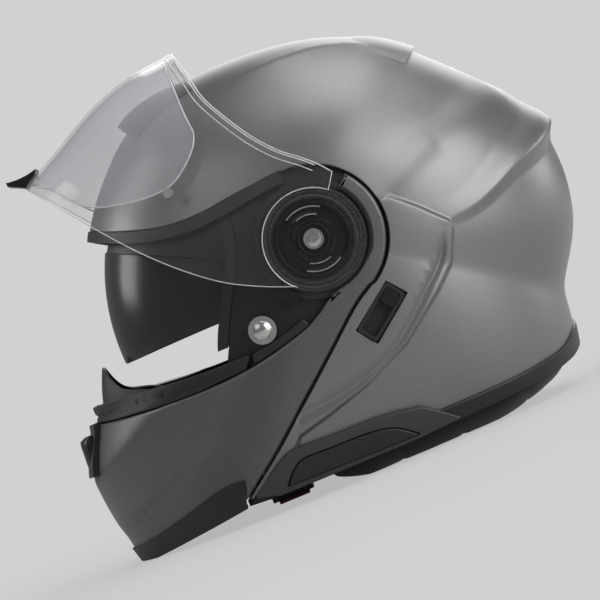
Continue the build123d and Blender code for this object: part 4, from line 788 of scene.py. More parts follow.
def turned(name, parts, material):
    """One piece of several turned parts."""
    points, faces = [], []
    for some_points, some_faces in parts:
        total = sum(len(others) for others in points)
        points.append(some_points)
        faces += [tuple(v + total for v in face) for face in some_faces]
    return solid_object(name, np.vstack(points), faces, material, 35, 1e-6)


def mirrored_parts(parts):
    """The same parts and their mirror images at the other side."""
    return parts + [(points * other_side, [tuple(reversed(face)) for face in faces])
                    for points, faces in parts]


def box_profile(inner, outer, low, high, corner=0.25):
    """A four-sided profile of radius and distance from the middle, with rounded corners."""
    places = []
    for radius, out, turn in ((inner, low, 180), (outer, low, 270), (outer, high, 0), (inner, high, 90)):
        across = corner if radius == inner else -corner
        along = corner if out == low else -corner
        for step in (0, 45, 90):
            heading = math.radians(turn + step)
            places.append((radius + across + corner * math.cos(heading),
                           out + along + corner * math.sin(heading)))
    return places


chin_form = Form(chin_shares, cross_powers, arm_half_width, raise_by=chin_relief)
chin_top_run = smooth_path(side_places(chin_top_shares))
seam_of_chin = shifted(seam_run, seam_gap / 2)
chin_low_rear = side_place(-0.78, -1.025)
chin_low_front = side_place(-1.31, chin_rim_drop_share)
chin_top_domain = chin_form.from_side(chin_top_run)
low_domain = chin_form.from_side(straight_path([seam_of_chin[-1], chin_low_rear, chin_low_front])[1:])
tip_step = [ring_places(radius, tip_start_angle, 0, 2)[0] for radius in tip_step_radii]
chin_left = np.vstack([chin_form.level_run(chin_top_domain[0], chin_top_run[0][1])[::-1][:-1],
                       chin_top_domain,
                       chin_form.from_side(ring_places(arm_rim_radius, -86, tip_start_angle, 60)),
                       chin_form.from_side(straight_path(tip_step)),
                       chin_form.from_side(ring_places(arm_tip_radius, tip_start_angle, tip_end_angle, 56)),
                       chin_form.from_side(seam_of_chin[1:]), low_domain,
                       chin_form.level_run(low_domain[-1], chin_low_front[1])[1:]])
vent_low = hinge_height + shell_radius * chin_vent_low_share
vent_high = hinge_height + shell_radius * chin_vent_high_share


def front_hole(form, low, high, width):
    """The loop of an opening in the middle of the front between two heights."""
    rows = []
    for height in (low, high):
        middle = form.level_run((-160.0, -40.0), height, 400)
        sides = form.bare(middle[:, 0], middle[:, 1])[:, 1]
        rows.append([float(np.interp(-width / 2, sides, middle[:, column])) for column in (0, 1)])
    (a0, t0), (a1, t1) = rows
    centre_low = form.level_run((a0, t0), low, 8)
    centre_high = form.level_run((a1, t1), high, 8)
    left = np.vstack([centre_low[::-1], straight_path([(a0, t0), (a1, t1)], 1.0)[1:-1], centre_high])
    return mirrored_loop(left)


chin_bar_skin = skin_mesh(chin_form, mirrored_loop(chin_left), chin_wall, chin_edge,
                          holes=[front_hole(chin_form, vent_low, vent_high, chin_vent_width)], spacing=1.9,
                          rounding=5)
# The chin bar wears the shell's grey paint made darker: a painted shade for the shadow over the chin bar.
chin_paint_painted_shade = moulded_finish("chin_paint_with_painted_shade", (0.125, 0.126, 0.129), (0.18, 0.181, 0.185), (0.38, 0.46),
                                 2600.0, 0.06, metallic=0.72)
chin_bar = mesh_object("painted_chin_bar", *chin_bar_skin, chin_paint_painted_shade)
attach(chin_bar, "chin_bar")
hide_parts("chin_bar")

satin_black = moulded_finish("satin_black_nylon", (0.009, 0.009, 0.0095), (0.016, 0.016, 0.017), (0.34, 0.46),
                             1400.0, 0.03)
cup_inner = arm_rim_radius + seat_gap
cup_outer = arm_rim_radius + arm_cup_wall
cup_floor = box_profile(hinge_shaft_radius + shaft_clearance, cup_outer, arm_floor_low,
                        arm_floor_low + arm_floor_wall)
cup_rim = box_profile(cup_inner, cup_outer, arm_floor_low, arm_half_width - chin_wall / 2)
arm_cups = turned("arm_cups",
                  mirrored_parts([disc_rows(cup_floor, count=96),
                                  disc_rows(cup_rim, arm_rim_start, arm_rim_end, 60)]), satin_black)
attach(arm_cups, "chin_bar")

# The clear visor: one injection moulded polycarbonate sheet, bulged like the face of the helmet, that runs
# back to a flat ring round the hinge on each side. Its cut edges carry a painted highlight in near white.
visor_half_width = 128.2
visor_wall = 2.2
visor_shares = smooth_through([(0, 1.15), (60, 1.15), (90, 1.153), (104, 1.169), (109.5, 1.195),
                               (117.5, 1.24), (126.5, 1.288), (136, 1.34), (141, 1.385), (145, 1.43),
                               (152, 1.49), (170, 1.58), (200, 1.62), (240, 1.62)])
visor_bottom_shares = [(-1.202, 0.773), (-1.054, 0.583), (-0.905, 0.393), (-0.766, 0.231), (-0.619, 0.087),
                       (-0.466, -0.033), (-0.3, -0.122), (-0.155, -0.182)]
visor_top_shares = [(0.205, 0.26), (0.158, 0.318), (0.09, 0.383), (0.0, 0.461), (-0.101, 0.591),
                    (-0.217, 0.809), (-0.254, 0.969), (-0.293, 1.136)]
visor_ring_radius = 31.4
visor_ring_inner = 124.5
visor_ring_outer = 127.9
base_boss_radius = 23.8
rim_strip_width = 5.2
rim_step = 0.55
rim_step_width = 0.9
visor_edge = 0.5

visor_top_run = smooth_path(side_places(visor_top_shares))
visor_bottom_run = smooth_path(side_places(visor_bottom_shares))


def visor_relief(points, angle, turn):
    """A shallow step that sets off the strip along the visor's upper rear edge."""
    distance, share = distance_to(side_view(points), visor_top_run)
    height = -rim_step * soft_step((distance - rim_strip_width) / rim_step_width)
    return height.reshape(np.shape(points)[:-1])


def clear_plastic(name, tint, roughness, see_through):
    """Clear or smoked sheet, mostly see-through; a veil that thickens at a slant is a painted reflection."""
    material, nodes, links, shader = new_material(name)
    set_values(shader, {"Base Color": tint + (1.0,), "IOR": 1.58, "Specular IOR Level": 0.7})
    haze = noise_into(nodes, links, 22.0, 3.0)
    spread_into(nodes, links, haze, roughness * 0.7, roughness * 1.3, shader.inputs["Roughness"])
    # The slant of the surface thickens the tinted veil: a painted reflection for the sheet's glare.
    facing = add_node(nodes, "ShaderNodeLayerWeight", {"Blend": 0.35})
    body = 1.0 - see_through
    spread_into(nodes, links, facing.outputs["Facing"], body, min(1.0, body + 0.26), shader.inputs["Alpha"])
    return material


visor_plastic = clear_plastic("clear_polycarbonate", (0.6, 0.62, 0.65), 0.09, 0.98)
# A near-white plastic: a painted highlight on the visor's cut edges and rim lines, and the pale colour of the
# insert's silicone bead.
bead_and_edge_highlight, nodes, links, shader = new_material("bead_and_painted_edge_highlight")
edge_haze = noise_into(nodes, links, 260.0)
links.new(ramp_from(nodes, links, edge_haze, (0.72, 0.74, 0.76), (0.95, 0.96, 0.97)),
          shader.inputs["Base Color"])
set_values(shader, {"Roughness": 0.18, "Alpha": 0.8, "Coat Weight": 0.6})

visor_form = Form(visor_shares, even_powers, visor_half_width, lowest=-100.0, raise_by=visor_relief)
visor_left = np.vstack([
    visor_form.to_middle(visor_bottom_run[0], side_place(-1.35, 0.9))[::-1][:-1],
    visor_form.from_side(visor_bottom_run), visor_form.from_side(ring_places(30.4, 222, 50, 80)),
    visor_form.from_side(visor_top_run), visor_form.to_middle(visor_top_run[-1], side_place(-0.3, 1.3))[1:]])
visor_creases = []
for offset in (0.0, rim_step_width):
    visor_creases += both_ways(visor_form.from_side(shifted(visor_top_run, -rim_strip_width - offset)[4:-3]))
visor_parts = skin_mesh(visor_form, mirrored_loop(visor_left), visor_wall, visor_edge, creases=visor_creases,
                        spacing=1.9)
visor = mesh_object("visor_sheet", *visor_parts, visor_plastic)
visor.data.materials.append(bead_and_edge_highlight)
# The rim faces take the near-white plastic, a painted highlight along the visor's cut edges.
for polygon in visor.data.polygons:
    if len(polygon.vertices) == 4:
        polygon.material_index = 1
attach(visor, "visor")
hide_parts("visor")

ring_bevel = 0.5
ring_groove_depth = 0.8
ring_groove_outer = 28.6
ring_groove_inner = 26.4
ring_groove_slope = 0.6
ring_bottom = visor_ring_outer - ring_groove_depth
ring_profile = [(base_boss_radius + seat_gap, visor_ring_inner), (visor_ring_radius, visor_ring_inner),
                (visor_ring_radius, visor_ring_outer - ring_bevel),
                (visor_ring_radius - ring_bevel, visor_ring_outer),
                (ring_groove_outer + ring_groove_slope, visor_ring_outer), (ring_groove_outer, ring_bottom),
                (ring_groove_inner, ring_bottom), (ring_groove_inner - ring_groove_slope, visor_ring_outer),
                (base_boss_radius + seat_gap, visor_ring_outer)]
visor_rings = turned("visor_rings", mirrored_parts([disc_rows(ring_profile, count=96)]), visor_plastic)
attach(visor_rings, "visor")

# The anti-fog insert: a thin clear sheet with a silicone bead round its edge, held behind the visor by an
# eccentric pin at each side.
insert_wall = 0.7
insert_gap = 0.4
insert_edge = 0.2
insert_shares = [(-0.345, 1.1), (-0.34, 0.79), (-0.338, 0.665), (-0.426, 0.556), (-0.557, 0.487),
                 (-0.763, 0.5), (-0.954, 0.57), (-1.12, 0.76)]
bead_radius = 0.55
insert_form = Form(visor_shares, even_powers, visor_half_width, visor_wall + insert_gap, lowest=-100.0)
insert_run = smooth_path(side_places(insert_shares))
insert_left = np.vstack([insert_form.to_middle(insert_run[0], side_place(-0.36, 1.3))[::-1][:-1],
                         insert_form.from_side(insert_run),
                         insert_form.to_middle(insert_run[-1], side_place(-1.3, 0.86))[1:]])
insert_loop = mirrored_loop(insert_left)
# The insert's pale veil is partly the film's own haze and partly a painted reflection across the visor's
# lower front.
insert_haze_and_painted_sheen = clear_plastic("insert_haze_and_painted_sheen", (0.95, 0.96, 1.0), 0.12, 0.88)
insert = skin("anti_fog_sheet", insert_form, insert_loop, insert_wall, insert_edge, insert_haze_and_painted_sheen)
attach(insert, "visor")
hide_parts("anti_fog_insert")


def path_holder(name, paths, closed=False):
    """A holder of straight-stepped paths in space."""
    curve = bpy.data.curves.new(name + "_path", "CURVE")
    curve.dimensions = "3D"
    for path in paths:
        spline = curve.splines.new("POLY")
        spline.points.add(len(path) - 1)
        for point, place in zip(spline.points, path):
            point.co = (place[0] * millimetre, place[1] * millimetre, place[2] * millimetre, 1.0)
        spline.use_cyclic_u = closed
    return add_object(name + "_path", curve)


def worked_mesh(piece):
    """The plain mesh that a piece's modifiers or thickness make."""
    return bpy.data.meshes.new_from_object(piece.evaluated_get(bpy.context.evaluated_depsgraph_get()))


def plain_piece(name, holder):
    """Takes the place of a holder with a plain mesh."""
    mesh = worked_mesh(holder)
    bpy.data.objects.remove(holder)
    mesh.name = name
    return add_object(name, mesh)


def tube_mesh(name, path, radius, material, closed=True):
    """A round bead of one thickness along a path in space."""
    holder = path_holder(name, [path], closed)
    holder.data.bevel_depth = radius * millimetre
    holder.data.bevel_resolution = 2
    holder.data.use_fill_caps = not closed
    piece = plain_piece(name, holder)
    piece.data.materials.clear()
    piece.data.materials.append(material)
    piece.data.polygons.foreach_set("use_smooth", [True] * len(piece.data.polygons))
    return piece


bead_loop = insert_loop[::2]
bead_places = insert_form.bare(bead_loop[:, 0], bead_loop[:, 1])
bead_places = bead_places + insert_form.normals(bead_loop[:, 0], bead_loop[:, 1]) * (-bead_radius * 0.2)
insert_bead = tube_mesh("silicone_bead", bead_places, bead_radius, bead_and_edge_highlight)
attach(insert_bead, "visor")

# Thin near-white lines sunk into the visor along its upper rim strip: painted highlights on the strip's edge
# and step.
rim_highlight_sink = 0.1
for offset, radius in ((1.8, 0.35), (5.4, 0.3)):
    rim_domains = both_ways(visor_form.from_side(shifted(visor_top_run, -offset)[6:-2]))
    for side_name, domain in zip(("left", "right"), rim_domains):
        rim_normals = visor_form.normals(domain[:, 0], domain[:, 1])
        rim_places = visor_form.place(domain[:, 0], domain[:, 1]) - rim_normals * rim_highlight_sink
        rim_name = "rim_line_%d_%s" % (round(offset), side_name)
        rim_highlight = tube_mesh(rim_name, rim_places, radius, bead_and_edge_highlight, closed=False)
        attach(rim_highlight, "visor")

# The sun visor: a smoked polycarbonate lens inside the eyeport, on an arm at each side back to its pivot.
sun_axis = (hinge_offset + 2.0, hinge_height - 18.6)
sun_radius = 140.5
sun_half_width = 100.0
sun_wall = 2.0
sun_hub_radius = 9.0
sun_hub_wall = 2.6
sun_hub_bore = 4.08
sun_hub_clearance = 0.6
sun_edge = 0.6
sun_low_shares = [(0.0, -0.212), (-0.25, -0.208), (-0.543, -0.195), (-0.9, -0.2), (-1.25, -0.215)]
sun_top_shares = [(-1.25, 0.38), (-0.95, 0.34), (-0.6, 0.2), (-0.25, 0.0), (0.0, -0.08)]


def sun_shares(angle):
    """The sun visor has the same radius at every angle."""
    return np.full(np.shape(angle), sun_radius / shell_radius)


smoke_plastic = clear_plastic("smoke_polycarbonate", (0.02, 0.021, 0.024), 0.24, 0.14)
sun_form = Form(sun_shares, even_powers, sun_half_width, axis=sun_axis, lowest=0.0)
sun_top_run = smooth_path(side_places(sun_top_shares))
sun_low_run = smooth_path(side_places(sun_low_shares))


def beyond_hub(run):
    """The part of a run that lies outside the sun visor's hub."""
    reach = np.hypot(run[:, 0] - sun_axis[0], run[:, 1] - sun_axis[1])
    return run[reach > sun_hub_radius + sun_hub_clearance]


def on_surface(form, run):
    """A run from the side view as angles and turns, up to where it meets the middle plane."""
    domain = form.from_side(run)
    flat = np.abs(domain[:, 1]) < 1e-6
    if flat[0]:
        first = int(np.argmax(~flat))
        return domain[first - 1:]
    last = int(np.argmax(flat)) if flat.any() else len(domain) - 1
    return domain[:last + 1]


sun_top_domain = on_surface(sun_form, beyond_hub(sun_top_run))
sun_low_domain = on_surface(sun_form, beyond_hub(sun_low_run))
hub_turns = np.radians(np.linspace(132, 222, 20))
hub_reach = sun_hub_radius - sun_hub_clearance
hub_arc = [(sun_axis[0] + hub_reach * math.cos(turn), sun_axis[1] + hub_reach * math.sin(turn))
           for turn in hub_turns]
sun_left = np.vstack([sun_top_domain, sun_form.from_side(hub_arc), sun_low_domain])
sun_lens = skin("sun_lens", sun_form, mirrored_loop(sun_left), sun_wall, sun_edge, smoke_plastic, spacing=2.2)
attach(sun_lens, "sun_visor")
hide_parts("sun_visor")
sun_hub = box_profile(sun_hub_bore, sun_hub_radius, sun_half_width - sun_hub_wall, sun_half_width)
sun_hub_parts = mirrored_parts([disc_rows(sun_hub, count=40, axis=sun_axis)])
sun_hubs = turned("sun_visor_hubs", sun_hub_parts, smoke_plastic)
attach(sun_hubs, "sun_visor")

# The hinge: a black moulded base plate in the arm's cup that the visor's ring turns on, with a dish, two
# hooks and small stops, a sprung release tab below it, and a stainless screw through the middle.
base_boss_high = 127.0
base_dish_depth = 2.6
hook_mid_radius = 17.0
hinge_head_high = 127.4

black_plastic = moulded_finish("black_plastic", (0.006, 0.006, 0.0065), (0.011, 0.011, 0.012), (0.2, 0.34),
                               900.0, 0.015)
# A pale grey nylon: the own colour of the insert's pins, and a painted highlight where it lines the hooks'
# edges.
pin_nylon_and_hook_highlight, nodes, links, shader = new_material("nylon_with_painted_hook_highlight")
nylon_grain = noise_into(nodes, links, 300.0)
links.new(ramp_from(nodes, links, nylon_grain, (0.2, 0.2, 0.205), (0.3, 0.3, 0.31)),
          shader.inputs["Base Color"])
set_values(shader, {"Roughness": 0.3})

steel = moulded_finish("steel", (0.56, 0.55, 0.53), (0.68, 0.67, 0.65), (0.16, 0.3), 500.0, 0.04,
                       metallic=1.0)


def dress(material, *nodes):
    """Gives CAD nodes a material."""
    for node in nodes:
        bpy.data.objects[node].data.materials[0] = material


def both_sides(*nodes):
    """The names of nodes that come on both sides."""
    return [node + side for node in nodes for side in ("_left", "_right")]


dress(black_plastic, *both_sides("visor_base_plate", "visor_release_tab"))
dress(steel, *both_sides("hinge_screw", "latch_pin", "latch_rivet", "latch_hook", "strap_anchor"))


def arc_bar(radius, width, low, high, start, end, count=24):
    """A bar bent round the hinge between two angles."""
    return disc_rows(box_profile(radius - width / 2, radius + width / 2, low, high), start, end, count)


dish_floor = base_boss_high - base_dish_depth
hook_top = dish_floor + 1.35
hook_half_turn = 33
hook_width = 3.5
hook_rib_offset = 1.9
hook_rib_width = 1.0
hook_rib_rise = 0.5
hook_middles = (90, -90)
hooks = []
for middle in hook_middles:
    span = (middle - hook_half_turn, middle + hook_half_turn)
    hooks.append(arc_bar(hook_mid_radius, hook_width, dish_floor, hook_top, *span))
    hooks.append(arc_bar(hook_mid_radius + hook_rib_offset, hook_rib_width, dish_floor,
                         hook_top + hook_rib_rise, *span))
visor_hooks = turned("visor_hooks", mirrored_parts(hooks), black_plastic)
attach(visor_hooks, "chin_bar")

# Painted highlights along the hooks' edges, as strips of paler nylon: radius from the hook's middle, width,
# height over it, and the turns it spans.
hook_line_rise = 0.5
hook_line_sizes = ((2.6, 0.9, 0.35, 34, 34), (-2.2, 0.8, -0.1, 30, 22))
line_parts = []
for middle in hook_middles:
    for offset, width, lift, before, after in hook_line_sizes:
        low = hook_top + lift
        line_parts.append(arc_bar(hook_mid_radius + offset, width, low, low + hook_line_rise, middle - before,
                                  middle + after))
hook_highlights = turned("hook_edge_highlights", mirrored_parts(line_parts), pin_nylon_and_hook_highlight)
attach(hook_highlights, "chin_bar")

# The stops in the dish, a collar round the screw, the ring on the dish's rim and small teeth inside it.
stop_radius = 12.2
stop_width = 2.4
stop_rise = 0.9
stop_turn = 44
tooth_half_turn = 3.5
stops = [arc_bar(stop_radius, stop_width, dish_floor, dish_floor + stop_rise, start, start + stop_turn)
         for start in (18, 118, 198, 298)]
stops.append(arc_bar(9.4, 1.2, dish_floor, dish_floor + 1.5, 0, 359, 64))
stops.append(arc_bar(22.2, 0.8, base_boss_high - 0.1, base_boss_high + 0.35, 0, 359.9, 96))
for middle in (0, 38, 142, 180, 218, 322):
    stops.append(arc_bar(22.7, 1.9, dish_floor + 1.0, base_boss_high + 0.1, middle - tooth_half_turn,
                         middle + tooth_half_turn, 6))
dish_stops = turned("dish_stops", mirrored_parts(stops), black_plastic)
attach(dish_stops, "chin_bar")

screw_head_steps = [(0.0, 0.9), (1.9, 0.9), (2.2, -0.15), (4.2, -0.1), (5.6, 0.35), (6.25, 1.1), (6.25, 2.3),
                    (0.0, 2.3)]
screw_profile = [(radius, hinge_head_high - depth) for radius, depth in screw_head_steps]
screw_heads = turned("screw_heads", mirrored_parts([disc_rows(screw_profile, count=48)]), steel)
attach(screw_heads, "shell")

# The black side plates: satin glass-filled nylon between the arm and the foam, with the domed latch pin.
dress(satin_black, *both_sides("side_plate"))
dress(black_plastic, "sun_visor_pivots", "visor_tab")
dress(pin_nylon_and_hook_highlight, "insert_pins")

# The chin vent: a black moulded wedge that stands proud of the chin bar and is widest at its top, with a dark
# mouth in its upper face and a slide in its middle.
vent_block_half = 21.4
vent_block_rows = [(-0.462, 4.0), (-0.466, 12.2), (-0.478, 14.6), (-0.5, 13.9), (-0.54, 11.6), (-0.58, 9.4),
                   (-0.612, 7.8), (-0.628, 6.8), (-0.636, 3.0)]
vent_block_depth = 12.5
vent_surface_stand = 4.0
vent_grid = []
for column in np.linspace(-1.0, 1.0, 41):
    section = []
    y = vent_block_half * column
    fade = 1.0 - 0.35 * abs(column) ** 5
    for share_z, stand in vent_block_rows:
        height = hinge_height + shell_radius * share_z
        middle = chin_form.level_run((-160.0, -40.0), height, 200)
        row = chin_form.bare(middle[:, 0], middle[:, 1])
        front = float(np.interp(-abs(y), row[:, 1], row[:, 0]))
        section.append((front - (stand - vent_surface_stand) * fade, y, height))
    back = section[4][0] + vent_block_depth
    section += [(back, y, hinge_height + shell_radius * share_z) for share_z in (-0.63, -0.47)]
    vent_grid.append(section)


def closed_grid(name, grid, material):
    """A closed skin from rows of points that each go round, with its two ends closed by a fan."""
    grid = np.asarray(grid, float)
    high, wide = grid.shape[:2]
    points = list(grid.reshape(-1, 3))
    faces = [(i * wide + j, i * wide + (j + 1) % wide, (i + 1) * wide + (j + 1) % wide, (i + 1) * wide + j)
             for i in range(high - 1) for j in range(wide)]
    for row in (0, high - 1):
        points.append(grid[row].mean(axis=0))
        faces += [(row * wide + j, row * wide + (j + 1) % wide, len(points) - 1) for j in range(wide)]
    return solid_object(name, points, faces, material, 50, 1e-7)


vent_block = closed_grid("chin_vent_block", vent_grid, black_plastic)
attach(vent_block, "chin_bar")

# The gaskets: extruded soft rubber. The brow and pillar strip seals the closed visor, and a double lip lies
# along the top of the chin bar.
rubber = moulded_finish("rubber", (0.012, 0.012, 0.0125), (0.022, 0.022, 0.023), (0.42, 0.58), 1200.0, 0.04)
chin_gasket_top_shares = [(-1.385, -0.345), (-1.102, -0.35), (-0.861, -0.374), (-0.71, -0.386),
                          (-0.48, -0.388)]
chin_gasket_wall = 5.0
chin_gasket_inset = 1.7
chin_gasket_edge = 1.0
lip_groove_depth = 1.6
lip_groove_width = 0.9
lip_groove_share = 0.58
lip_top_run = smooth_path(side_places(chin_gasket_top_shares))
lip_low_run = smooth_path(side_places(chin_top_shares[:4])) + np.array([0.0, seat_gap])
lip_upper = side_places([(-1.4, -0.345), (-1.1, -0.35), (-0.86, -0.374), (-0.6, -0.387)])
lip_lower = side_places([(-1.4, -0.424), (-1.1, -0.448), (-0.86, -0.465), (-0.6, -0.455)])
lip_groove_run = smooth_path([((a[0] + b[0]) / 2, a[1] * (1 - lip_groove_share) + b[1] * lip_groove_share)
                              for a, b in zip(lip_upper, lip_lower)])


def lip_relief(points, angle, turn):
    """The groove between the two lips of the gasket."""
    distance, share = distance_to(side_view(points), lip_groove_run)
    return (-lip_groove_depth * np.exp(-(distance / lip_groove_width) ** 2)).reshape(np.shape(points)[:-1])


lip_form = Form(chin_shares, cross_powers, arm_half_width, chin_gasket_inset, raise_by=lip_relief)
lip_top = on_surface(lip_form, lip_top_run)
lip_low = on_surface(lip_form, lip_low_run)
lip_end = lip_form.from_side(straight_path([lip_top_run[-1], lip_low_run[-1]], 1.0))[1:-1]
lip_left = np.vstack([lip_top, lip_end, lip_low[::-1]])
lip_groove = on_surface(lip_form, lip_groove_run)
chin_gasket = skin("chin_bar_lip", lip_form, mirrored_loop(lip_left), chin_gasket_wall, chin_gasket_edge,
                   rubber, creases=both_ways(lip_groove), spacing=1.0)
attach(chin_gasket, "chin_bar")
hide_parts("chin_bar_gasket")
dress(rubber, "eyeport_gasket")

# The breath guard: a soft black rubber flap behind the chin bar's lip that rises to a peak at the nose.
guard_half_width = 58.0
guard_wall = 2.0
guard_front_share = -1.306
guard_base_share = -0.4
guard_peak_share = -0.17
guard_nose_half = 0.42
guard_side_rise = 0.3
guard_bow_share = 0.24
guard_lean_shares = (0.045, 0.03)
guard_stand_back = 3.0
guard_lift = 1.5
guard_top_drop = 2.0
guard_rows = []
for rise in np.linspace(0.0, 1.0, 14):
    row = []
    for column in np.linspace(-1.0, 1.0, 61):
        nose = guard_side_rise + (1.0 - guard_side_rise) * math.exp(-(column / guard_nose_half) ** 2)
        peak = shell_radius * (guard_peak_share - guard_base_share) * nose
        bow = shell_radius * guard_bow_share * abs(column) ** 2.2
        lean = shell_radius * (guard_lean_shares[0] * rise + guard_lean_shares[1] * rise * rise)
        fade = 1.0 - abs(column) ** 8
        x, z = side_place(guard_front_share, guard_base_share)
        row.append((x + bow + lean + guard_stand_back, guard_half_width * column,
                    z + guard_lift + (peak - guard_top_drop) * rise * fade))
    guard_rows.append(row)


def sheet_of(name, rows, material, wall):
    """A sheet of even thickness from rows of points, with rounded edges."""
    grid = np.array(rows) * millimetre
    high, wide = grid.shape[:2]
    faces = [(i * wide + j, i * wide + j + 1, (i + 1) * wide + j + 1, (i + 1) * wide + j)
             for i in range(high - 1) for j in range(wide - 1)]
    mesh = bpy.data.meshes.new(name)
    mesh.from_pydata([tuple(point) for point in grid.reshape(-1, 3)], [], faces)
    mesh.materials.append(material)
    piece = add_object(name, mesh)
    solid = piece.modifiers.new("thickness", "SOLIDIFY")
    solid.thickness = wall * millimetre
    solid.offset = 1.0
    bevel = piece.modifiers.new("edges", "BEVEL")
    bevel.width = wall * 0.42 * millimetre
    bevel.segments = 3
    bevel.angle_limit = math.radians(50)
    mesh = worked_mesh(piece)
    piece.modifiers.clear()
    piece.data = mesh
    cleaned(mesh, 40)
    return piece


guard = sheet_of("breath_flap", guard_rows, rubber, guard_wall)
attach(guard, "chin_bar")
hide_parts("breath_guard")

# The rear trim: a dark grey moulding over the shell's lower rim, from the intercom covers round the back.
charcoal_plastic = moulded_finish("charcoal_plastic", (0.012, 0.0125, 0.0135), (0.019, 0.0195, 0.0205),
                                  (0.4, 0.52), 1500.0, 0.04)
trim_stand = 2.2
trim_wall = 7.7
trim_edge = 1.2
rear_trim_top_shares = [(-0.44, -0.978), (0.248, -0.98), (0.556, -0.978), (0.769, -0.967), (0.945, -0.936),
                        (1.08, -0.842), (1.3, -0.7)]
rear_trim_bottom_shares = [(-0.44, -1.06), (0.248, -1.06), (0.556, -1.054), (0.769, -1.042), (0.945, -1.013),
                           (1.033, -0.972), (1.118, -0.93), (1.35, -0.8)]
trim_form = Form(shell_shares, cross_powers, shell_half_width, -trim_stand)
trim_top = on_surface(trim_form, smooth_path(side_places(rear_trim_top_shares)))
trim_low = on_surface(trim_form, smooth_path(side_places(rear_trim_bottom_shares)))
trim_left = np.vstack([trim_top[::-1], trim_low])
rear_trim = skin("rear_trim_moulding", trim_form, mirrored_loop(trim_left), trim_wall, trim_edge,
                 charcoal_plastic, spacing=1.6)
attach(rear_trim, "shell")
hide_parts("rear_trim")
dress(charcoal_plastic, "chin_bar_bottom_trim", "lever_bezel")
dress(black_plastic, "release_button", "sun_visor_lever", "chin_vent_housing", "chin_vent_shutter",
      "intake_shutter", "outlet_shutter")

# The intercom covers: a blue-grey frame low on each side and a darker cover clipped into it.
frame_plastic = moulded_finish("blue_grey_plastic", (0.036, 0.037, 0.042), (0.05, 0.051, 0.057), (0.4, 0.5),
                               1500.0, 0.04)
frame_stand = 4.2
cover_stand = 5.4
cover_gap = 0.45
frame_edge = 1.1
cover_edge = 0.9
cover_form_stand = 5.0
frame_sink = 0.6
cover_sink = 0.2
frame_outline_shares = [(-0.735, -1.03), (-0.6, -0.94), (-0.508, -0.893), (-0.455, -0.885), (-0.265, -0.892),
                        (-0.028, -0.898), (0.127, -0.921), (0.191, -0.943), (0.338, -1.055)]
frame_low_shares = [(0.338, -1.055), (0.1, -1.066), (-0.6, -1.066), (-0.735, -1.03)]
cover_outline_shares = [(-0.56, -1.035), (-0.5, -0.97), (-0.439, -0.941), (-0.306, -0.942), (-0.103, -0.948),
                        (0.019, -0.975), (0.116, -1.045)]
frame_form = Form(shell_shares, cross_powers, shell_half_width, -frame_stand)
cover_form = Form(shell_shares, cross_powers, shell_half_width, -cover_form_stand)


def closed_below(run):
    """A closed loop from a run of places, with a straight lower side."""
    return np.vstack([run, straight_path([run[-1], run[0]], 1.5)[1:-1]])


def pair_object(name, parts, material):
    """One piece of a part on the left and its mirror image on the right."""
    return mesh_object(name, *with_other_side(parts), material)


frame_loop = np.vstack([smooth_path(side_places(frame_outline_shares), 1.5),
                        straight_path(side_places(frame_low_shares), 1.5)[1:-1]])
cover_rim = smooth_path(side_places(cover_outline_shares), 1.5)
cover_loop = closed_below(shifted(cover_rim, cover_gap))
frame_parts = skin_mesh(frame_form, frame_form.from_side(frame_loop), frame_stand + frame_sink, frame_edge,
                        holes=[frame_form.from_side(closed_below(cover_rim))], spacing=1.4)
cover_parts = skin_mesh(cover_form, cover_form.from_side(cover_loop), cover_stand + cover_sink, cover_edge,
                        spacing=1.4)
comm_frames = pair_object("intercom_frames", frame_parts, frame_plastic)
comm_covers = pair_object("intercom_covers", cover_parts, charcoal_plastic)
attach(comm_frames, "shell")
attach(comm_covers, "shell")
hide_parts(*both_sides("comm_cover_frame"))
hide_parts(*both_sides("comm_cover"))

# The top vents: a charcoal hood over the brow intake and a painted hood over the crown outlet,
# with a black slide under each.
dress(grey_paint, "outlet_cover")
dress(charcoal_plastic, "intake_hood")

# The foam: grey-black expanded polystyrene, pressed in a mould, so its surface shows its beads.
foam, nodes, links, shader = new_material("polystyrene_foam")
place = nodes.new("ShaderNodeTexCoord")
beads = add_node(nodes, "ShaderNodeTexVoronoi", {"Scale": 330.0})
links.new(place.outputs["Object"], beads.inputs["Vector"])
bead_colour = ramp_from(nodes, links, beads.outputs["Distance"], (0.05, 0.05, 0.052), (0.03, 0.03, 0.031))
links.new(bead_colour, shader.inputs["Base Color"])
set_values(shader, {"Roughness": 0.8})
bump_from(nodes, links, beads.outputs["Distance"], shader, 0.5, 0.0004)
dress(foam, "impact_liner", "chin_bar_liner")

# The cheek and brow trims: black nylon panels that close the gap between the shell's brow and the sun visor,
# and a soft black strip along the upper edge of each chin bar arm, as far as the hinge.
brow_panel_inset = 5.7
brow_panel_wall = 2.2
brow_panel_edge = 0.8
brow_panel_shares = [(-0.9, 0.42), (-0.8, 0.375), (-0.66, 0.345), (-0.46, 0.325), (-0.27, 0.34),
                     (-0.27, 0.14), (-0.29, -0.02), (-0.42, 0.06), (-0.56, 0.14), (-0.72, 0.22),
                     (-0.88, 0.29), (-0.95, 0.33)]


def below_brow(function):
    """The same function of an angle, counted on past the brow instead of starting again there."""
    return lambda angle: function(np.where(np.asarray(angle) > 158.0, np.asarray(angle) - 360.0, angle))


def straight_outline(form, shares, spacing):
    """The straight-sided loop through places, as angles and turns of a form."""
    return form.from_side(straight_path(side_places(shares + shares[:1]), spacing)[:-1])


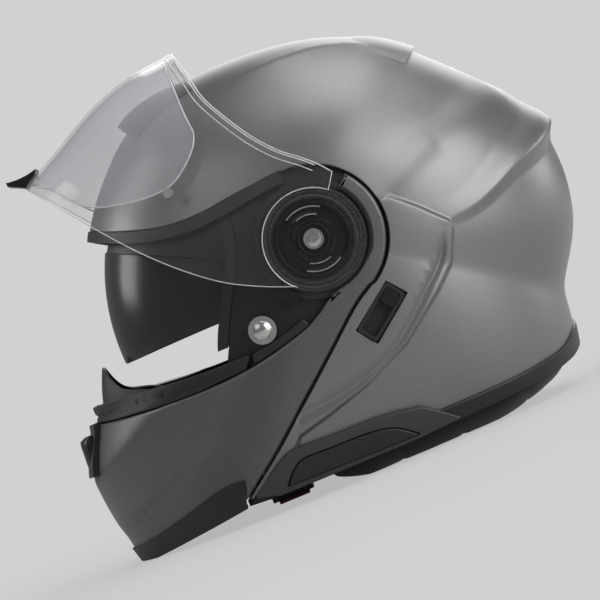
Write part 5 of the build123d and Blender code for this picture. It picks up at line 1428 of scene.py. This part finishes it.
brow_form = Form(below_brow(shell_shares), below_brow(cross_powers), shell_half_width, brow_panel_inset,
                 lowest=0.0)
brow_outline = straight_outline(brow_form, brow_panel_shares, 2.0)
brow_parts = skin_mesh(brow_form, brow_outline, brow_panel_wall, brow_panel_edge, spacing=2.4)
brow_panels = pair_object("brow_panels", brow_parts, satin_black)
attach(brow_panels, "shell")

skirt_inset = 5.2
skirt_wall = 2.0
skirt_edge = 0.6
skirt_shares = [(-0.765, -1.03), (-0.72, -0.985), (-0.66, -0.985), (-0.66, -1.066), (-0.765, -1.06)]
skirt_form = Form(shell_shares, cross_powers, shell_half_width, skirt_inset)
skirt_parts = skin_mesh(skirt_form, straight_outline(skirt_form, skirt_shares, 1.5), skirt_wall, skirt_edge,
                        spacing=1.5)
side_skirts = pair_object("side_skirts", skirt_parts, satin_black)
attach(side_skirts, "shell")

arm_strip_inset = 1.9
arm_strip_wall = 3.4
arm_strip_edge = 1.0
arm_strip_rise = 0.25
arm_strip_top_shares = [(-0.48, -0.395), (-0.36, -0.377), (-0.26, -0.352), (-0.19, -0.328)]
arm_edge_run = smooth_path(side_places(chin_top_shares))
on_arm = (arm_edge_run[:, 0] > side_place(-0.49, 0)[0]) & (arm_edge_run[:, 0] < side_place(-0.16, 0)[0])
arm_strip_low = arm_edge_run[on_arm] + np.array([0.0, arm_strip_rise])
arm_strip_top = smooth_path(side_places(arm_strip_top_shares))
arm_strip_form = Form(chin_shares, cross_powers, arm_half_width, arm_strip_inset)
arm_strip_ends = [straight_path(places, 1.0)[1:-1] for places in ((arm_strip_top[-1], arm_strip_low[-1]),
                                                                  (arm_strip_low[0], arm_strip_top[0]))]
arm_strip_loop = np.vstack([arm_strip_top, arm_strip_ends[0], arm_strip_low[::-1], arm_strip_ends[1]])
arm_strip_parts = skin_mesh(arm_strip_form, arm_strip_form.from_side(arm_strip_loop), arm_strip_wall,
                            arm_strip_edge, spacing=1.2)
arm_strips = pair_object("arm_strips", arm_strip_parts, rubber)
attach(arm_strips, "chin_bar")

# The padded lining: brushed charcoal knit over foam, sewn with a raised seam and grey thread. The crown pad
# is quilted, the cheek pads and the neck roll are thick, and all of them press into place.
lining, nodes, links, shader = new_material("knitted_lining")
knit_place = nodes.new("ShaderNodeTexCoord")
knit_size = add_node(nodes, "ShaderNodeMapping", {"Scale": (1500.0, 1500.0, 1500.0)})
knit_rows = add_node(nodes, "ShaderNodeTexWave", {"Scale": 0.5, "Distortion": 1.2, "Detail": 1.0},
                     bands_direction="Z")
knit_columns = add_node(nodes, "ShaderNodeTexWave", {"Scale": 0.5, "Distortion": 1.2},
                        bands_direction="DIAGONAL")
knit_height = add_node(nodes, "ShaderNodeMath", operation="MULTIPLY")
join(links, (knit_place, "Object", knit_size, "Vector"), (knit_size, "Vector", knit_rows, "Vector"),
     (knit_size, "Vector", knit_columns, "Vector"), (knit_rows, "Fac", knit_height, 0),
     (knit_columns, "Fac", knit_height, 1))
wear = noise_into(nodes, links, 45.0, 4.0)
lining_shade = ramp_from(nodes, links, wear, (0.026, 0.026, 0.028), (0.045, 0.045, 0.048))
knit_shade = ramp_from(nodes, links, knit_height.outputs["Value"], (0.6, 0.6, 0.6), (1.0, 1.0, 1.0), 0.0, 0.8)
lining_colour = add_node(nodes, "ShaderNodeMix", {"Factor": 1.0}, data_type="RGBA", blend_type="MULTIPLY")
links.new(lining_shade, lining_colour.inputs["A"])
links.new(knit_shade, lining_colour.inputs["B"])
links.new(lining_colour.outputs["Result"], shader.inputs["Base Color"])
set_values(shader, {"Roughness": 0.9, "Sheen Weight": 0.35, "Sheen Roughness": 0.5})
bump_from(nodes, links, knit_height.outputs["Value"], shader, 0.6, 0.0004)

thread = moulded_finish("grey_thread", (0.07, 0.07, 0.074), (0.12, 0.12, 0.125), (0.7, 0.85), 3000.0, 0.3)

stitch_pitch = 0.0042
stitch_tree = bpy.data.node_groups.new("stitches", "GeometryNodeTree")
stitch_tree.interface.new_socket("Path", in_out="INPUT", socket_type="NodeSocketGeometry")
for socket_name, size in (("Pitch", stitch_pitch), ("Length", 0.0030), ("Thickness", 0.00028)):
    socket = stitch_tree.interface.new_socket(socket_name, in_out="INPUT", socket_type="NodeSocketFloat")
    socket.default_value = size
stitch_tree.interface.new_socket("Thread", in_out="INPUT", socket_type="NodeSocketMaterial")
stitch_tree.interface.new_socket("Stitches", in_out="OUTPUT", socket_type="NodeSocketGeometry")
stitch_in = stitch_tree.nodes.new("NodeGroupInput")
stitch_out = stitch_tree.nodes.new("NodeGroupOutput")
stitch_points = add_node(stitch_tree.nodes, "GeometryNodeCurveToPoints", mode="LENGTH")
stitch_line = add_node(stitch_tree.nodes, "GeometryNodeMeshCylinder", {"Vertices": 6})
stitch_copies = stitch_tree.nodes.new("GeometryNodeInstanceOnPoints")
stitch_real = stitch_tree.nodes.new("GeometryNodeRealizeInstances")
stitch_finish = stitch_tree.nodes.new("GeometryNodeSetMaterial")
join(stitch_tree.links, (stitch_in, "Path", stitch_points, "Curve"),
     (stitch_in, "Pitch", stitch_points, "Length"), (stitch_points, "Points", stitch_copies, "Points"),
     (stitch_points, "Rotation", stitch_copies, "Rotation"), (stitch_in, "Length", stitch_line, "Depth"),
     (stitch_in, "Thickness", stitch_line, "Radius"), (stitch_line, "Mesh", stitch_copies, "Instance"),
     (stitch_copies, "Instances", stitch_real, "Geometry"),
     (stitch_real, "Geometry", stitch_finish, "Geometry"), (stitch_in, "Thread", stitch_finish, "Material"),
     (stitch_finish, "Geometry", stitch_out, "Stitches"))


def stitched(name, paths, body, pitch=stitch_pitch):
    """Rows of stitches along paths of places, as one plain mesh that rides on a body."""
    holder = path_holder(name, paths)
    rows = holder.modifiers.new("stitches", "NODES")
    rows.node_group = stitch_tree
    values = {"Pitch": pitch, "Thread": thread}
    for item in stitch_tree.interface.items_tree:
        if item.in_out == "INPUT" and item.name in values:
            rows[item.identifier] = values[item.name]
    piece = plain_piece(name, holder)
    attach(piece, body)


cavity_half_width = 93.0
pad_wall = 9.0
cavity_shares = smooth_through([(-125, 1.6), (-90, 1.3), (-60, 1.1), (-30, 1.0), (0, 0.98), (30, 0.8),
                                (60, 0.73), (90, 0.715), (120, 0.76), (140, 0.8), (160, 0.83)])
crown_start = 24.0
crown_end = 138.0
crown_limit_turn = 58.0
crown_squareness = 0.5
crown_seam_drop = 1.4
quilt_drop = 3.2
quilt_rise = 3.4


def cavity_place(angle, turn, inset):
    """A point a given distance inside the foam's cavity."""
    deeper = Form(cavity_shares, cross_powers, cavity_half_width, inset)
    return deeper.bare(np.array([angle]), np.array([turn]))[0]


crown_rings = []
crown_centre = (crown_start + crown_end) / 2
crown_reach = (crown_end - crown_start) / 2
ring_turns = np.linspace(0.0, 2 * math.pi, 160, endpoint=False)
crown_profile = [(0.02, 0.0), (0.3, 0.0), (0.6, 0.0), (0.85, 0.0), (0.96, 0.0), (1.0, 0.16), (1.008, 0.4),
                 (0.995, 0.62), (0.965, 1.0), (0.93, 1.0), (0.89, 1.0)]
crown_profile += [(share, 1.0) for share in (*np.arange(17, 0, -1) * 0.05, 0.01)]


def rounded(value, power):
    """A sine or cosine drawn towards the sides of a square, with its sign kept."""
    return math.copysign(abs(value) ** power, value)


def crown_thickness(along, across, share, depth):
    """How far the crown pad stands off the foam: it is quilted, and thinner towards its edge."""
    if depth == 0.0:
        return seat_gap
    quilt = abs(math.sin(1.5 * math.pi * along)) ** 0.35 * abs(math.cos(1.5 * math.pi * across)) ** 0.25
    edge = 1.0 if depth < 1 else min(1.0, 0.72 + (1.0 - share) * 4)
    return seat_gap + (pad_wall - quilt_drop + quilt_rise * quilt) * min(1.0, depth) * edge


for share, depth in crown_profile:
    ring = []
    for heading in ring_turns:
        across = rounded(math.cos(heading), crown_squareness) * share
        along = rounded(math.sin(heading), crown_squareness) * share
        ring.append(cavity_place(crown_centre + crown_reach * along, crown_limit_turn * across,
                                 crown_thickness(along, across, share, depth)))
    crown_rings.append(ring)
crown_pad = closed_grid("crown_cushion", crown_rings, lining)
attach(crown_pad, "shell")
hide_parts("crown_pad")
crown_seam_lift = seat_gap + pad_wall - crown_seam_drop
crown_seams = []
for along in (-2 / 3, 0.0, 2 / 3):
    for offset in (-0.035, 0.035):
        angle = crown_centre + crown_reach * (along + offset)
        crown_seams.append([cavity_place(angle, crown_limit_turn * across, crown_seam_lift)
                            for across in np.linspace(-0.84, 0.84, 60)])
stitched("crown_stitches", crown_seams, "shell")

cheek_low_share = (-0.57, -0.9)
cheek_high_share = (0.1, -0.24)
cheek_face = 66.0
cheek_edge_roll = 16.0
cheek_backing_inset = 8.4


def side_reach(x, z, half_width, inset):
    """How far a rounded form reaches sideways at a place of the side view."""
    across, up = x - hinge_offset, z - hinge_height
    angle = math.degrees(math.atan2(up, across))
    radius = shell_radius * float(shell_shares(angle)) - inset
    power = float(cross_powers(angle))
    share = min(1.0, math.hypot(across, up) / radius)
    return half_width * (1 - share ** power) ** (1 / power)


cheek_low = side_place(*cheek_low_share)
cheek_high = side_place(*cheek_high_share)
cheek_middle = ((cheek_low[0] + cheek_high[0]) / 2, (cheek_low[1] + cheek_high[1]) / 2)
cheek_half = ((cheek_high[0] - cheek_low[0]) / 2, (cheek_high[1] - cheek_low[1]) / 2)
cheek_profile = [(0.02, 0.0), (0.4, 0.0), (0.7, 0.0), (0.93, 0.0), (0.965, 0.02), (0.985, 0.1), (1.0, 0.22),
                 (1.0, 0.4), (0.985, 0.47), (0.975, 0.5), (0.985, 0.53), (1.0, 0.6), (0.995, 0.7),
                 (0.975, 0.8), (0.94, 0.89), (0.9, 0.945), (0.86, 0.972), (0.82, 0.985), (0.78, 0.99)]
cheek_profile += [(share, 1.0) for share in (0.74, 0.7, 0.66, 0.62, 0.58, 0.54, 0.5, 0.46, 0.42, 0.38, 0.3,
                                             0.2, 0.1, 0.02)]
cheek_seat = 0.4
cheek_squareness = 0.56
cheek_seam_share = 0.668
cheek_channel_depth = 3.0
cheek_crease_depth = 1.6
cheek_piping_radius = 0.9
cheek_seam_lift = 0.6


def cheek_place(share, depth, heading):
    """A point of the left cheek pad, by its share of the outline, of the thickness and its heading."""
    across = rounded(math.cos(heading), cheek_squareness) * share
    rise = rounded(math.sin(heading), cheek_squareness) * share
    x = cheek_middle[0] + cheek_half[0] * across
    z = cheek_middle[1] + cheek_half[1] * rise
    back = side_reach(x, z, shell_half_width - cheek_backing_inset, cheek_backing_inset) - cheek_seat
    face = cheek_face + cheek_edge_roll * (across ** 4 + rise ** 4) / 2 + cheek_seat
    if depth > 0.98:
        face += cheek_channel_depth * math.exp(-((share - 0.6) / 0.025) ** 2)
        if share < 0.6:
            face += cheek_crease_depth * math.exp(-((across - 0.28) / 0.03) ** 2)
    return (x, -(back + (face - back) * depth), z)


def cheek_ring(share, depth):
    """One ring of points round the left cheek pad."""
    return [cheek_place(share, depth, heading) for heading in ring_turns]


cheek_rings = np.array([cheek_ring(share, depth) for share, depth in cheek_profile])
cheek_seam = np.array(cheek_ring(cheek_seam_share, 1.0) + [cheek_place(cheek_seam_share, 1.0, 0.0)])
cheek_edge = np.array(cheek_ring(0.99, 0.5))
for side_name, flip in (("left", 1.0), ("right", -1.0)):
    mirror = np.array([1.0, flip, 1.0])
    cheek = closed_grid("cheek_cushion_" + side_name, cheek_rings * mirror, lining)
    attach(cheek, "shell")
    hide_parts("cheek_pad_" + side_name)
    piping = tube_mesh("cheek_piping_" + side_name, cheek_edge * mirror, cheek_piping_radius, lining)
    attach(piping, "shell")
    seam = cheek_seam * mirror + np.array([0.0, cheek_seam_lift * flip, 0.0])
    stitched("cheek_stitches_" + side_name, [seam], "shell")

# The neck roll: padding under coated cloth round the neck opening, sewn in panels, flat where it stands.
roll_width = 21.0
roll_height = 21.0
floor_cut = 0.5
roll_end_turn = 116.0
roll_rise = 14.0
roll_flat_end_share = 0.42
roll_top_share = 0.9
roll_room = 3.4
trim_root = 5.5
roll_panels = 9


def roll_height_at(x):
    """The height of the roll's middle, which rises towards the back."""
    rise = (x - hinge_offset) / shell_radius - roll_flat_end_share
    rise = max(0.0, rise) / (roll_top_share - roll_flat_end_share)
    return roll_rise * min(1.0, rise) ** 2 + roll_height / 2 - floor_cut


def roll_middle(turn):
    """The middle of one section of the roll, inside the rear trim, at an angle in the plan view."""
    inset = trim_root + roll_width / 2 + roll_room
    heading = math.radians(turn)
    low, high = 0.0, 2 * shell_radius
    for _ in range(30):
        reach = (low + high) / 2
        x = hinge_offset + reach * math.cos(heading)
        if abs(reach * math.sin(heading)) < side_reach(x, roll_height_at(x), shell_half_width - inset, inset):
            low = reach
        else:
            high = reach
    return np.array([x, reach * math.sin(heading), roll_height_at(x)])


roll_turns = np.linspace(-roll_end_turn, roll_end_turn, 181)
roll_centres = np.array([roll_middle(turn) for turn in roll_turns])
roll_paths = np.gradient(roll_centres, axis=0)
roll_paths /= np.linalg.norm(roll_paths, axis=1, keepdims=True)
roll_rings = []
roll_points = 48
roll_seam_heading = 0.6
section_turns = np.linspace(0.0, 2 * math.pi, roll_points, endpoint=False)
for index, (centre, path) in enumerate(zip(roll_centres, roll_paths)):
    out = np.cross(path, np.array([0.0, 0.0, 1.0]))
    out /= np.linalg.norm(out)
    up = np.cross(out, path)
    share = index / (len(roll_turns) - 1)
    ends = min(1.0, (min(share, 1.0 - share) * 14.0) ** 0.5 + 0.12)
    swell = 0.9 + 0.1 * abs(math.sin(math.pi * roll_panels * share)) ** 0.3
    wrinkle = 0.012 * math.sin(61.0 * share + 2.0) + 0.008 * math.sin(147.0 * share)
    ring = []
    for heading in section_turns:
        size = (swell + wrinkle * math.sin(2 * heading + 9 * share)) * ends * 0.985
        size *= 1.0 - 0.09 * math.exp(-((math.sin((heading - roll_seam_heading) / 2)) / 0.05) ** 2)
        across = out * math.cos(heading) * roll_width / 2
        point = centre + (across + up * math.sin(heading) * roll_height / 2) * size
        ring.append((point[0], point[1], max(point[2], 0.05)))
    roll_rings.append(ring)
neck_roll = closed_grid("neck_cushion", roll_rings, lining)
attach(neck_roll, "shell")
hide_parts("neck_roll")
seam_column = int(round(roll_seam_heading / (2 * math.pi) * roll_points))
roll_seam = np.array([ring[seam_column] for ring in roll_rings[4:-4]])
stitched("neck_roll_stitches", [roll_seam], "shell")

# The chin strap: flat woven webbing from each side plate to the ratchet buckle, with a soft sleeve on each.
strap_width = 22.0
strap_wall = 1.8
strap_mid_share = -0.56
strap_left_shares = [(-0.7717, 0.2283), (-0.7677, 0.1417), (-0.7087, 0.063), (-0.5512, 0.0457),
                     (-0.378, 0.0425)]
strap_right_shares = [(0.7717, 0.2283), (0.7677, 0.1417), (0.7087, 0.063), (0.4724, 0.0441), (0.2362, 0.0425),
                      (0.063, 0.0425)]
strap_pad_left_span = (0.34, 0.9)
strap_pad_right_span = (0.24, 0.62)
strap_pad_wall = 4.0
strap_pad_width = 28.0
webbing_squareness = 0.22
sleeve_squareness = 0.45
sleeve_fill = 0.94
strap_stitch_pitch = 0.0034
strap_stitch_lift = 0.05
strap_x = side_place(strap_mid_share, 0)[0]

webbing, nodes, links, shader = new_material("woven_webbing")
weave_place = nodes.new("ShaderNodeTexCoord")
weave_size = add_node(nodes, "ShaderNodeMapping", {"Scale": (900.0, 900.0, 900.0)})
weave = add_node(nodes, "ShaderNodeTexWave", {"Scale": 0.6, "Distortion": 2.5, "Detail": 2.0},
                 bands_direction="X")
join(links, (weave_place, "Object", weave_size, "Vector"), (weave_size, "Vector", weave, "Vector"))
weave_colour = ramp_from(nodes, links, weave.outputs["Fac"], (0.007, 0.007, 0.0072), (0.024, 0.024, 0.025))
links.new(weave_colour, shader.inputs["Base Color"])
set_values(shader, {"Roughness": 0.75})
bump_from(nodes, links, weave.outputs["Fac"], shader, 0.7, 0.0003)


def strap_band(name, run, wall, width, squareness, material):
    """A flat band along a run of places in the front view, with rounded long edges and closed ends."""
    run = np.asarray(run)
    ahead = np.gradient(run, axis=0)
    ahead /= np.linalg.norm(ahead, axis=1, keepdims=True)
    away = np.stack([ahead[:, 1], -ahead[:, 0]], axis=1)
    rings = []
    for index, (place, normal) in enumerate(zip(run, away)):
        near_end = min(index, len(run) - 1 - index)
        size = 1.0 if near_end > 1 else (0.55, 0.88)[near_end]
        ring = []
        for heading in np.linspace(0.0, 2 * math.pi, 40, endpoint=False):
            side = rounded(math.cos(heading), squareness) * width / 2
            lift = rounded(math.sin(heading), squareness * 1.3) * wall / 2 * size
            ring.append((strap_x + side, place[0] + normal[0] * lift, place[1] + normal[1] * lift))
        rings.append(ring)
    return closed_grid(name, rings, material)


def part_of(run, span):
    """The part of a run between two shares of its length."""
    lengths = np.concatenate([[0.0], np.cumsum(np.linalg.norm(np.diff(run, axis=0), axis=1))])
    places = np.linspace(span[0], span[1], 40) * lengths[-1]
    return np.stack([np.interp(places, lengths, run[:, 0]), np.interp(places, lengths, run[:, 1])], axis=1)


pad_lift = (strap_wall + strap_pad_wall) / 2 + seat_gap
for side_name, shares, span, inner in (("left", strap_left_shares, strap_pad_left_span, -1),
                                       ("right", strap_right_shares, strap_pad_right_span, 1)):
    strap_run = smooth_path([(shell_radius * y, shell_radius * z) for y, z in shares], 1.5)
    strap = strap_band("webbing_strap_" + side_name, strap_run, strap_wall, strap_width,
                       webbing_squareness, webbing)
    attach(strap, "shell")
    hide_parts("chin_strap_" + side_name)
    seams = []
    for across in (-0.42, 0.42):
        run = shifted(strap_run, strap_wall / 2 + strap_stitch_lift)
        seams.append([(strap_x + strap_width * across, y, z) for y, z in run])
    stitched("strap_stitches_" + side_name, seams, "shell", strap_stitch_pitch)
    sleeve_run = shifted(part_of(strap_run, span), pad_lift * inner)
    sleeve = strap_band("strap_sleeve_" + side_name, sleeve_run, strap_pad_wall * sleeve_fill,
                        strap_pad_width, sleeve_squareness, lining)
    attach(sleeve, "shell")
    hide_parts("strap_pad_" + side_name)

# The buckle: black moulded body and toothed tongue, with a red release lever below.
red_plastic = moulded_finish("red_plastic", (0.33, 0.014, 0.012), (0.42, 0.022, 0.02), (0.25, 0.4), 800.0,
                             0.06)
dress(red_plastic, "buckle_lever")
dress(black_plastic, "buckle_body", "ratchet_tongue")
